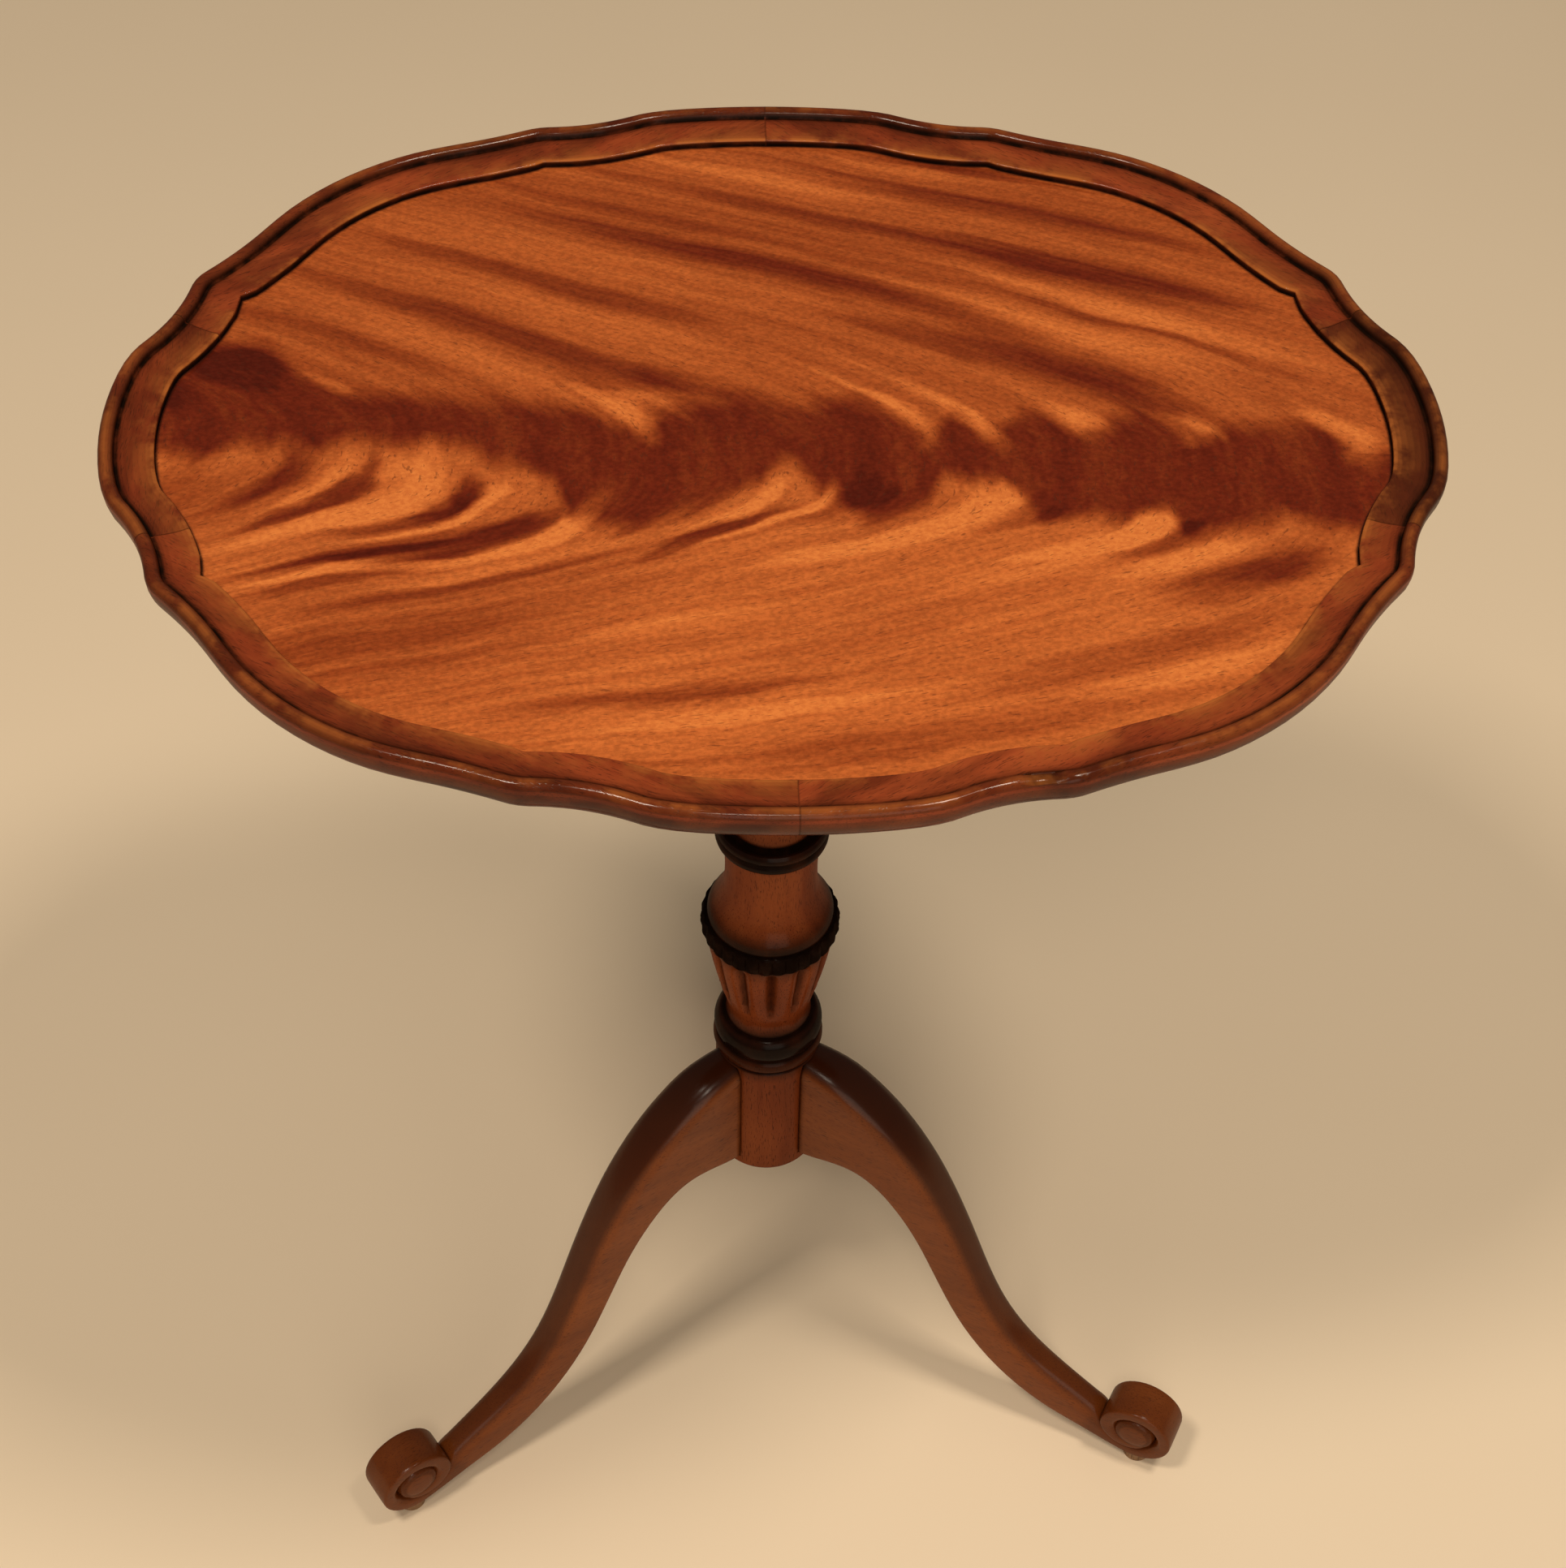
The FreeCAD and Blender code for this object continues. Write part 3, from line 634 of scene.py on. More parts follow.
# Rim section, in millimetres from the widest line: inwards, up, grime with painted shade, wear
RIM_OVER = [
    (0.12, 0.77, 0.0, 0.1), (0.48, 1.47, 0.0, 0.15), (1.03, 2.02, 0.0, 0.25), (1.73, 2.38, 0.0, 0.4),
    (2.5, 2.5, 0.0, 0.5), (3.27, 2.38, 0.0, 0.35), (3.97, 2.02, 0.1, 0.2), (4.52, 1.47, 0.4, 0.1),
    (4.88, 0.77, 0.8, 0.0), (5.0, 0.2, 1.0, 0.0), (5.2, -0.15, 1.0, 0.0), (5.75, -0.28, 1.0, 0.0),
    (6.3, -0.08, 0.7, 0.0), (7.0, -0.12, 0.4, 0.0), (8.5, -0.38, 0.15, 0.05), (10.5, -0.66, 0.0, 0.1),
    (12.5, -0.86, 0.0, 0.2), (14.5, -0.94, 0.0, 0.3), (16.0, -0.86, 0.0, 0.5), (16.8, -0.86, 0.0, 0.8),
    # down the inner wall to the veneer: grime there carries a painted shadow
    (17.15, -0.98, 0.0, 1.0), (17.38, -1.25, 0.0, 0.9), (17.48, -1.7, 0.7, 0.1), (17.5, -2.6, 1.0, 0.0),
    (17.5, -3.5, 1.0, 0.0),
]
RIM_UNDER = [
    (0.18, 2.3, 0.0, 0.1), (0.72, 4.7, 0.0, 0.1), (1.6, 6.85, 0.0, 0.0), (2.78, 8.75, 0.0, 0.0),
    (4.22, 10.3, 0.0, 0.0), (5.87, 11.45, 0.1, 0.2), (7.65, 12.05, 0.2, 0.1), (9.5, 12.2, 0.3, 0.0),
    (11.0, 12.2, 1.0, 0.0), (11.0, 4.2, 1.0, 0.0), (14.5, 4.2, 1.0, 0.0),
]
# foot of the inner wall: grime with a painted shadow
RIM_WALL = [(17.5, -4.4, 1.0, 0.0)]
LARGEST_STEP = 0.6
CLOSEST_CORNERS = 0.45
SAME_PLACE = 0.1
# Only the faces that fill a whole ring have more corners than this
RING_FACE = 100
FACING = 0.9
# The cusps of the inner line are drawn out from this step of the section on
CUSP_STEP = 18
CUSP = 2.4
CUSP_REACH = 6.5
CUSP_CLEAR = 2.3
# They lie within so many millimetres of this share of the outline's corners
CUSP_SHARE = 0.905
CUSP_WITHIN = 9
VENEER = 0.9 * MM
# Corners closer than this are doubles, in metres
RIM_DOUBLES = 0.00003
COLUMN_DOUBLES = 0.00001
LEG_DOUBLES = 0.000005


def step_in(piece, section, start=(0.0, 0.0)):
    """insets the chosen face step by step along a section, joining corners that run together"""
    inwards, up = start
    for next_in, next_up, grime_and_shade, worn in section:
        count = max(1, math.ceil((next_in - inwards) / LARGEST_STEP))
        for _ in range(count):
            bpy.ops.mesh.inset(thickness=(next_in - inwards) / count * MM, depth=(next_up - up) / count * MM)
            stain(piece, "grime_and_shade", grime_and_shade)
            stain(piece, "worn", worn)
            gather_at_corners(piece)
            bpy.ops.mesh.remove_doubles(threshold=SAME_PLACE * MM)
        inwards, up = next_in, next_up


def pull_places(piece, pulls):
    """moves corners, each by its own pull"""
    for place, pull in pulls.items():
        choose(piece, lambda v: v.index == place)
        shift(pull)


def gather_at_corners(piece):
    """moves each place that a sharp corner is about to run over onto that corner"""
    layer = bmesh.from_edit_mesh(piece.data).verts.layers.float["corner"]
    chosen = chosen_corners(piece)
    ring = {v.index for v in chosen}
    pulls = {}
    for corner in chosen:
        if corner[layer] > 0.5:
            for other in (edge.other_vert(corner) for edge in corner.link_edges):
                pull = corner.co - other.co
                if other.select and 0 < pull.length < CLOSEST_CORNERS * MM:
                    pulls[other.index] = pull.copy()
    if pulls:
        pull_places(piece, pulls)
        choose(piece, lambda v: v.index in pulls)
        stain(piece, "corner", 1.0)
        choose_ring(piece, ring)


def pull_cusps(piece):
    """draws the chosen ring out to sharp cusps where the outline's outward corners are"""
    ring = sorted(chosen_corners(piece), key=lambda v: math.atan2(v.co.y / HALF_WIDTH, v.co.x / HALF_LENGTH))
    chosen = {v.index for v in ring}
    pulls = {}
    for share_x, share_y in (CORNER_SHARES[1], CORNER_SHARES[4]):
        for sign_x, sign_y in ((1, 1), (-1, 1), (-1, -1), (1, -1)):
            out = Vector((sign_x * share_x, sign_y * share_y))
            expected = Vector((out.x * HALF_LENGTH, out.y * HALF_WIDTH)) * CUSP_SHARE * MM
            near = [k for k, v in enumerate(ring) if (v.co.xy - expected).length < CUSP_WITHIN * MM]
            bulge = {k: ring[k].co - (ring[k - 3].co + ring[(k + 3) % len(ring)].co) / 2 for k in near}
            tip = max(near, key=lambda k: bulge[k].x * out.x + bulge[k].y * out.y)
            pull = bulge[tip].normalized() * CUSP * MM
            for corner in ring:
                away = (ring[tip].co - corner.co).length / MM
                if away < CUSP_CLEAR:
                    pulls[corner.index] = ring[tip].co + pull - corner.co
                elif away < CUSP_REACH:
                    pulls[corner.index] = pull * (1 - away / CUSP_REACH)
    pull_places(piece, pulls)
    choose_ring(piece, chosen)
    bpy.ops.mesh.remove_doubles(threshold=SAME_PLACE * MM)


def crust_blank():
    """thin disc pulled out to the piecrust outline, at the rim's widest line"""
    places = sorted(crust_places(), key=lambda p: math.atan2(p.y, p.x))
    sharp = crust_places()[::SLICES]
    put_down()
    bpy.ops.mesh.primitive_cylinder_add(vertices=len(places), radius=HALF_LENGTH * MM, depth=BLANK_DEPTH,
                                        end_fill_type="NGON", location=(0, 0, LIP_HEIGHT - BLANK_DEPTH / 2))
    blank = name_piece("piecrust_rim")
    bpy.ops.object.transform_apply(location=True, rotation=False, scale=False)
    add_coats(blank)
    open_mesh(blank)
    by_angle = sorted(bmesh.from_edit_mesh(blank.data).verts,
                      key=lambda v: (round(math.atan2(v.co.y, v.co.x), 4), v.co.z))
    pairs = [((lower.index, upper.index), lower.co.xy) for lower, upper in zip(by_angle[::2], by_angle[1::2])]
    for (pair, start), place in zip(pairs, places):
        pull = place - start
        choose(blank, lambda v: v.index in pair)
        shift((pull.x, pull.y, 0))
        if min((place - corner).length for corner in sharp) < SAME_PLACE * MM:
            stain(blank, "corner", 1.0)
    return blank


def ring_face(way=0):
    """test for the face that fills the ring: the upper one, the lower one or either"""
    return lambda f: len(f.verts) > RING_FACE and (way == 0 or f.normal.z * way > FACING)


def crust_rim_and_field():
    """the whole rim as one ring, and the field that is left inside it"""
    ring = crust_blank()
    choose(ring, ring_face(1), "FACE")
    step_in(ring, RIM_OVER[:CUSP_STEP])
    pull_cusps(ring)
    step_in(ring, RIM_OVER[CUSP_STEP:], RIM_OVER[CUSP_STEP - 1][:2])
    bpy.ops.mesh.duplicate()
    bpy.ops.mesh.separate(type="SELECTED")
    choose(ring, ring_face(1), "FACE")
    step_in(ring, RIM_WALL, RIM_OVER[-1][:2])
    choose(ring, ring_face(-1), "FACE")
    step_in(ring, RIM_UNDER)
    choose(ring, ring_face(), "FACE")
    bpy.ops.mesh.delete(type="FACE")
    choose(ring, lambda e: e.is_boundary, "EDGE")
    bpy.ops.mesh.bridge_edge_loops()
    put_down()
    field = [o for o in bpy.data.objects if o.name.startswith("piecrust_rim.")][0]
    close_up(ring, RIM_DOUBLES)
    return ring, field


def cut_joint(piece, place, square):
    """saws through the rim at a joint, with a line of dirt that has crept in from it"""
    for back, clear in ((0.03, True), (0.45, False), (0.9, False)):
        open_mesh(piece)
        choose_all()
        bpy.ops.mesh.bisect(plane_co=place + square * back * MM, plane_no=square, use_fill=clear,
                            clear_inner=clear)
        put_down()
    open_mesh(piece)
    choose(piece, lambda v: (v.co - place).dot(square) < 0.2 * MM)
    stain(piece, "grime_and_shade", 0.6)
    put_down()


def chip_lip(piece):
    """small bruise on the crest of the lip"""
    open_mesh(piece)
    choose(piece, lambda v: 66 < v.co.x / MM < 75 and v.co.y < -0.15 and v.co.z > LIP_HEIGHT + 1.4 * MM)
    shift((0, 0, -0.9 * MM))
    stain(piece, "grime_and_shade", 0.5)
    stain(piece, "worn", 1.0)
    put_down()


# Each length of moulding: which cuts it has, mirrored by which signs, and how its grain is turned
RIM_LENGTHS = {
    "rim_right_end": ("end", 1, 1, 90), "rim_left_end": ("end", -1, 1, 90),
    "rim_back_right": ("side", 1, 1, -33), "rim_back_left": ("side", -1, 1, 33),
    "rim_front_right": ("side", 1, -1, 33), "rim_front_left": ("side", -1, -1, -33),
}
# painted shade on the rim's right end, which gets less light than the left
RIGHT_END_SHADE = 0.75


def rim_pieces(ring, material):
    corners, middles = crust_ring()
    # The end joints lie on the middles of the ogees next to the end knuckles
    joint = Vector((middles[0].x, middles[0].y, LIP_HEIGHT))
    run = (corners[1] - corners[0]).normalized().to_3d()
    over = Vector((1, -1, 1))
    cuts = {
        "end": [(joint, -run), (joint * over, -run * over)],
        "side": [(joint, run), (Vector((0, 0, 0)), Vector((1, 0, 0)))],
    }
    for k, (name, (kind, sign_x, sign_y, grain_turn)) in enumerate(RIM_LENGTHS.items()):
        piece = copy_piece(ring, name + "_moulding")
        turn = Vector((sign_x, sign_y, 1))
        for place, square in cuts[kind]:
            cut_joint(piece, place * turn, square * turn)
        lay_grain(piece, grain_turn, Vector((0.31 * k, 0.17 * k, 0.0)))
        if name == "rim_front_right":
            chip_lip(piece)
        # painted shade over the whole right end
        if name == "rim_right_end":
            for shade in piece.data.attributes["shaded"].data:
                shade.value = RIGHT_END_SHADE
        smooth(piece, 32)
        finish_piece(piece, material, name)
    throw_away(ring)


def veneer_sheet(field, material):
    """flame veneer inside the rim, darker along its edge with dirt and a painted shadow of the rim's inner
    wall
    """
    pick_up(field)
    field = name_piece("flame_veneer_sheet")
    whole = ring_face()
    open_mesh(field, "FACE")
    choose(field, whole, "FACE")
    step_in(field, [(0.06, 0.0, 1.0, 0.0)])
    choose(field, lambda f: not whole(f), "FACE")
    bpy.ops.mesh.delete(type="FACE")
    choose(field, whole, "FACE")
    shift((0, 0, -VENEER))
    draw_out((0, 0, VENEER))
    # these steps darken the edge: dirt and painted shadow
    step_in(field, [(0.3, 0.0, 0.9, 0.0), (0.7, 0.0, 0.35, 0.0), (1.2, 0.0, 0.0, 0.0)])
    put_down()
    close_up(field, RIM_DOUBLES)
    smooth(field, 30)
    finish_piece(field, material, "flame_veneer")


# Column

COLUMN_TURNS = 120
LOBES = 12
# Turned section from the foot up, in millimetres: height and radius; pairs of places are arcs
COLUMN_SECTION = [
    [(128.8, 20.1), (131.0, 21.0)], [(193.5, 21.0)], [(194.2, 20.4)], [(194.8, 20.4)],
    [(197.4, 22.0), (200.5, 21.2)], [(201.2, 20.5)], [(202.0, 20.5)],
    [(207.3, 21.6), (212.0, 19.6)], [(213.0, 18.4)], [(213.4, 17.2)],
    [(217.5, 16.4), (222.0, 17.1)], [(226.5, 18.1), (231.0, 19.2)],
    [(238.5, 20.9), (262.4, 24.9)], [(263.2, 25.0)], [(263.6, 26.0)],
    [(265.0, 26.7), (268.3, 26.9)], [(271.4, 26.6), (272.7, 25.7)], [(273.1, 24.6)],
    [(275.4, 24.3), (278.2, 23.1)], [(283.8, 20.0), (289.5, 18.1)], [(297.0, 17.6), (305.0, 17.7)],
    [(312.0, 18.1), (316.2, 18.3)], [(316.5, 19.4)], [(317.2, 21.0), (319.6, 21.2)],
    [(320.6, 20.5)], [(321.4, 20.5)], [(322.2, 21.3), (324.4, 21.0)], [(325.5, 20.3), (325.7, 19.0)],
    [(326.6, 16.5)], [(333.0, 15.5), (342.0, 15.9)], [(392.0, 16.3), (445.4, 12.9)], [(448.8, 13.2)],
    [(449.0, 15.0)], [(452.3, 16.4), (455.9, 15.1)], [(457.7, 13.5)], [(471.0, 15.1), (482.7, 23.1)],
    [(487.1, 23.1)], [(487.1, 12.0)], [(505.0, 12.0)],
]
# Steps along the section: on straight runs, on arcs and on arcs so long that they are nearly straight
STRAIGHT_STEP = 6
ARC_STEP = 1.1
LONG_ARC_STEP = 3.0
LONG_RADIUS = 60
SECTION_START = [(0, 129.7), (15.1, 129.7), (15.1, 128.0), (18.3, 128.0)]


def arc_count(turn, radius):
    """into how many steps an arc of the section is cut"""
    if radius > LONG_RADIUS:
        return max(4, round(turn * radius / LONG_ARC_STEP))
    return max(2, round(turn * radius / ARC_STEP))


def section_places():
    """the turned section as places a millimetre or so apart, closed on the axis at both ends"""
    places = [Vector(p) for p in SECTION_START]
    for run in COLUMN_SECTION:
        here = places[-1]
        ends = [Vector((r, z)) for z, r in run]
        if len(ends) == 1:
            count = max(1, round((ends[0] - here).length / STRAIGHT_STEP))
            places += [here.lerp(ends[0], k / count) for k in range(1, count + 1)]
        else:
            places += arc_places(here, *ends, arc_count)[1:-1] + [ends[1]]
    places.append(Vector((0, places[-1].y)))
    return [p * MM for p in places]


def turned_column():
    """the section drawn corner by corner and spun into a column"""
    put_down()
    bpy.ops.mesh.primitive_plane_add(size=2 * MM, location=(0, 0, 0))
    column = name_piece("turned_column")
    open_mesh(column)
    choose_all()
    bpy.ops.mesh.merge(type="CENTER")
    here, *places = section_places()
    shift((here.x, 0, here.y))
    for place in places:
        draw_out((place.x - here.x, 0, place.y - here.y))
        here = place
    choose_all()
    bpy.ops.mesh.spin(steps=COLUMN_TURNS, angle=2 * math.pi, center=(0, 0, 0), axis=(0, 0, 1))
    put_down()
    add_coats(column)
    close_up(column, COLUMN_DOUBLES)
    return column


def line_number(corner):
    """which of the spin's lines a corner lies on, counted from the front"""
    angle = math.degrees(math.atan2(corner.co.y, corner.co.x)) + 90.0
    return round(angle / 360.0 * COLUMN_TURNS) % COLUMN_TURNS


def press(column, low, high, every, line, share, grime_and_shade=None):
    """presses the same line of every lobe or bead in towards the axis"""
    def wanted(v):
        return low * MM <= v.co.z <= high * MM and v.co.xy.length > 5 * MM and line_number(v) % every in line
    if choose(column, wanted):
        stretch((share, share, 1))
        if grime_and_shade is not None:
            stain(column, "grime_and_shade", grime_and_shade)


def carve_column(column):
    """rounded lobes on the vase and a ring of beads over them"""
    open_mesh(column)
    each = COLUMN_TURNS // LOBES
    # Lines of a lobe from its groove outwards: how deep and how dirty they are
    lines = {(0,): (0.115, 0.75), (1, 9): (0.078, 0.6), (2, 8): (0.028, 0.1), (3, 7): (0.007, None)}
    for low, high, share in ((231.5, 234, 0.5), (234, 237, 0.85), (237, 258, 1.0), (258, 260.5, 0.8),
                             (260.5, 262.3, 0.4)):
        for line, (depth, grime_and_shade) in lines.items():
            press(column, low + 0.01, high, each, line, 1 - depth * share, grime_and_shade)
    # Round ends of the lobes: between them the cove runs higher
    for low, high, line, share, grime_and_shade in (
            (229.0, 231.5, (0,), 0.9, 0.5), (229.0, 231.5, (1, 9), 0.935, 0.35),
            (226.8, 229.0, (0,), 0.955, 0.5), (226.8, 229.0, (1, 9), 0.97, 0.35),
            (226.8, 231.5, (5,), 1.012, None)):
        press(column, low + 0.01, high, each, line, share, grime_and_shade)
    # Beads of the carved ring
    for low, high, share in ((263.4, 264.6, 0.5), (264.6, 271.6, 1.0), (271.6, 272.5, 0.5)):
        press(column, low, high, 4, (0,), 1 - 0.052 * share, 1.0)
        press(column, low, high, 4, (1, 3), 1 - 0.012 * share)
    put_down()


def blacken_rings_and_quirks(column):
    """near-black rings, and quirks darkened by grime, with a painted shadow in the quirk under the lowest
    bead
    """
    open_mesh(column)
    for low, high, amount in (
            # first: painted shadow in the quirk between the block and the bead
            (193.8, 195.0, 1.0), (201.0, 202.2, 0.8), (212.4, 214.3, 0.9), (262.6, 273.6, 1.0),
            (316.0, 316.8, 1.0), (320.3, 321.7, 0.9), (325.6, 327.2, 1.0), (448.5, 449.3, 1.0),
            (456.5, 458.2, 1.0)):
        choose(column, lambda v: low * MM <= v.co.z <= high * MM)
        stain(column, "grime_and_shade", amount)
    put_down()


BASE_TURN = 2.6
LEG_ANGLES = {
    "front_left_leg": 210 + BASE_TURN, "front_right_leg": -30 + BASE_TURN, "back_leg": 90 + BASE_TURN,
}
# Flats on the column: how far out, how high up their middle is, and the size of the block that cuts them
FLAT_DISTANCE = 18.73 * MM
FLAT_HEIGHT = 163.9 * MM
FLAT_BLOCK = (20 * MM, 19 * MM, 59.0 * MM)


def flatten_for_legs(column):
    """planes the flats that the legs' shoulders meet"""
    for angle in LEG_ANGLES.values():
        put_down()
        bpy.ops.mesh.primitive_cube_add(size=1, location=(FLAT_DISTANCE + FLAT_BLOCK[0] / 2, 0, FLAT_HEIGHT))
        bpy.ops.transform.resize(value=FLAT_BLOCK)
        block = name_piece("flat_block")
        bpy.ops.object.transform_apply(location=True, rotation=True, scale=True)
        turn_about_column(block, angle)
        pick_up(column)
        cut = column.modifiers.new("flat", "BOOLEAN")
        cut.operation = "DIFFERENCE"
        cut.object = block
        cut.solver = "EXACT"
        bpy.ops.object.modifier_apply(modifier=cut.name)
        throw_away(block)


def column_piece(material):
    column = turned_column()
    carve_column(column)
    blacken_rings_and_quirks(column)
    flatten_for_legs(column)
    smooth(column, 38)
    finish_piece(column, material, "column")


# Legs

# Sections across the leg, in millimetres: distance out, height, tilt in degrees, depth, half thickness
LEG_SECTIONS = [
    (18.8, 164.0, 0.0, 59.2, 9.5), (19.2, 164.0, 0.0, 59.1, 9.5), (21.0, 164.0, 0.0, 58.4, 9.8),
    (27.0, 163.9, 0.0, 55.8, 10.4), (34.0, 163.4, -5.0, 51.6, 10.9),
    (41.7, 160.0, -14.1, 44.6, 11.0), (48.8, 156.0, -24.6, 38.6, 10.9), (55.2, 151.2, -35.3, 33.6, 10.7),
    (61.0, 145.6, -44.3, 30.1, 10.4), (66.2, 139.5, -51.1, 27.7, 10.1), (70.8, 133.0, -55.7, 25.9, 9.8),
    (77.0, 122.7, -60.9, 24.1, 9.3), (82.4, 112.0, -64.8, 22.9, 8.8), (87.3, 101.0, -67.2, 22.2, 8.4),
    (91.8, 89.9, -68.0, 21.8, 8.1), (96.5, 78.9, -66.5, 21.5, 7.9), (101.6, 68.0, -62.6, 21.4, 7.8),
    (107.6, 57.6, -56.4, 21.5, 7.7), (114.8, 48.1, -49.4, 21.7, 7.6), (123.2, 39.5, -41.8, 22.0, 7.5),
    (132.7, 32.1, -34.0, 22.2, 7.3), (143.0, 26.0, -27.4, 21.4, 7.0), (150.2, 22.6, -24.2, 19.9, 6.8),
    (157.6, 19.4, -23.1, 17.3, 6.8), (161.5, 18.0, -14.0, 16.2, 6.9), (164.6, 15.7, -6.0, 13.0, 7.0),
    (167.8, 13.3, -2.0, 9.6, 7.1), (172.0, 11.5, 0.0, 7.2, 7.3), (176.8, 10.6, 0.0, 6.7, 7.6),
]
# From here on a section is squeezed as a whole; before it the rounding of its edges is kept
SQUEEZED_FROM = 160
SHOULDER_GRIME_TO = 19.5
SCROLL_CENTRE = (181.0, 24.0)
TOE_SHADE = 0.4
TOP_ROUND = 4.5 * MM
# The scroll: quarter turns from its lowest place, outer radius, depth of the band, half thickness
SCROLL_TURNS = [
    (0.0, 17.0, 7.2, 7.9), (1.0, 17.0, 7.7, 8.6), (2.0, 16.8, 8.4, 8.9), (3.0, 16.0, 8.6, 8.9),
    (3.5, 13.2, 7.8, 8.8), (4.0, 10.6, 6.4, 8.7), (4.6, 8.0, 5.0, 8.5),
]


def scroll_sections():
    """sections round the scroll, eighteen degrees apart"""
    sections = []
    for k in range(math.floor(SCROLL_TURNS[-1][0] * 5) + 1):
        turn = k / 5
        after = next(i for i, row in enumerate(SCROLL_TURNS) if row[0] >= turn)
        low, high = SCROLL_TURNS[max(after - 1, 0)], SCROLL_TURNS[after]
        share = 0 if high[0] == low[0] else (turn - low[0]) / (high[0] - low[0])
        radius, depth, half = (low[i] + (high[i] - low[i]) * share for i in (1, 2, 3))
        angle = math.radians(90 * turn - 90)
        middle = radius - depth / 2
        sections.append((SCROLL_CENTRE[0] + middle * math.cos(angle),
                         SCROLL_CENTRE[1] + middle * math.sin(angle), 90 * turn, depth, half))
    return sections


def leg_blank():
    """one leg along +X: a rounded section drawn out from the shoulder and rolled up at the toe"""
    put_down()
    bpy.ops.mesh.primitive_plane_add(size=1, location=(0, 0, 0))
    leg = name_piece("cabriole_leg")
    add_coats(leg)
    open_mesh(leg)
    choose_all()
    swing(90, "Y")
    x, z, tilt, depth, half = LEG_SECTIONS[0]
    stretch((1, 2 * half * MM, depth * MM))
    shift((x * MM, 0, z * MM))
    choose_all()
    stain(leg, "grime_and_shade", 0.8)
    choose(leg, lambda v: v.co.z > z * MM)
    bpy.ops.mesh.bevel(offset=9.3 * MM, segments=9, profile=0.56, affect="VERTICES")
    choose(leg, lambda v: v.co.z < z * MM - depth / 2 * MM + 0.5 * MM)
    bpy.ops.mesh.bevel(offset=1.8 * MM, segments=3, affect="VERTICES")
    choose_all()
    squeezed = False
    for section in LEG_SECTIONS[1:] + scroll_sections():
        next_x, next_z, next_tilt, next_depth, next_half = section
        squeezed = squeezed or next_x > SQUEEZED_FROM
        middle = (next_x * MM, 0, next_z * MM)
        draw_out(((next_x - x) * MM, 0, (next_z - z) * MM))
        if squeezed:
            swing(-tilt, "Y", middle)
            stretch((1, next_half / half, next_depth / depth), middle)
            swing(next_tilt, "Y", middle)
        else:
            swing(next_tilt - tilt, "Y", middle)
            stretch((1, next_half / half, 1), middle)
            move_edges(leg, middle, next_tilt, (next_depth - depth) / 2 * MM)
        # painted shade: leg tops in the shadow of the table top; the toes darker as a whole
        darken_top(leg, middle, next_tilt, next_depth * MM, top_shade(next_x))
        if squeezed:
            stain(leg, "shaded", TOE_SHADE)
        if next_x > SHOULDER_GRIME_TO:
            stain(leg, "grime_and_shade", 0.0)
        x, z, tilt, depth, half = section
    bpy.ops.mesh.inset(thickness=0.6 * MM, depth=0.35 * MM)
    put_down()
    eye = scroll_eye()
    pick_up(leg)
    eye.select_set(True)
    bpy.ops.object.join()
    close_up(leg, LEG_DOUBLES)
    return leg


# The eye of the scroll, from its sunk ring to its middle: inwards and up
EYE_STEPS = [(2.0, 0.0), (0.7, 0.25), (0.8, 0.25), (1.0, 0.2), (1.4, 0.12), (1.5, 0.05)]


def scroll_eye():
    """core of the scroll, its ends drawn up to a low worn eye inside a sunk ring"""
    put_down()
    bpy.ops.mesh.primitive_cylinder_add(vertices=32, radius=9.4 * MM, depth=2 * 8.6 * MM,
                                        end_fill_type="NGON", location=(0, 0, 0))
    eye = name_piece("scroll_eye")
    add_coats(eye)
    open_mesh(eye, "FACE")
    for side in (1, -1):
        choose(eye, lambda f: f.normal.z * side > FACING, "FACE")
        for inwards, up in EYE_STEPS:
            bpy.ops.mesh.inset(thickness=inwards * MM, depth=up * MM)
        bpy.ops.mesh.poke()
    choose_all()
    stain(eye, "shaded", TOE_SHADE)
    swing(90, "X")
    shift((SCROLL_CENTRE[0] * MM, 0, SCROLL_CENTRE[1] * MM))
    choose(eye, lambda v: 6.5 * MM < (v.co.xz - Vector(SCROLL_CENTRE) * MM).length < 7.5 * MM)
    stain(eye, "grime_and_shade", 0.35)
    put_down()
    return eye


def upwards(tilt):
    """the way up in a section that is tilted so many degrees"""
    angle = math.radians(tilt)
    return Vector((-math.sin(angle), 0, math.cos(angle)))


def move_edges(leg, middle, tilt, reach):
    """moves a section's upper edge out and its lower edge down, its rounding kept"""
    up = upwards(tilt)
    ring = {v.index: (v.co - Vector(middle)).dot(up) > 0 for v in chosen_corners(leg)}
    for upper, way in ((True, 1), (False, -1)):
        choose(leg, lambda v: ring.get(v.index) is upper)
        shift(up * reach * way)
    choose_ring(leg, ring)


def top_shade(distance):
    """how dark the painted shade on the top of a leg is, from the column outwards"""
    return 1.0 - 0.4 * min(max((distance - 25) / 120, 0), 1)


def darken_top(leg, middle, tilt, depth, amount):
    """painted shade along a section's rounded top, the shadow of the table top"""
    up = upwards(tilt)
    top = Vector(middle).dot(up) + depth / 2
    layer = bmesh.from_edit_mesh(leg.data).verts.layers.float["shaded"]
    for corner in chosen_corners(leg):
        below = (top - corner.co.dot(up)) / TOP_ROUND
        corner[layer] = amount * min(max(1.8 * (1 - below), 0), 1)
    bmesh.update_edit_mesh(leg.data)


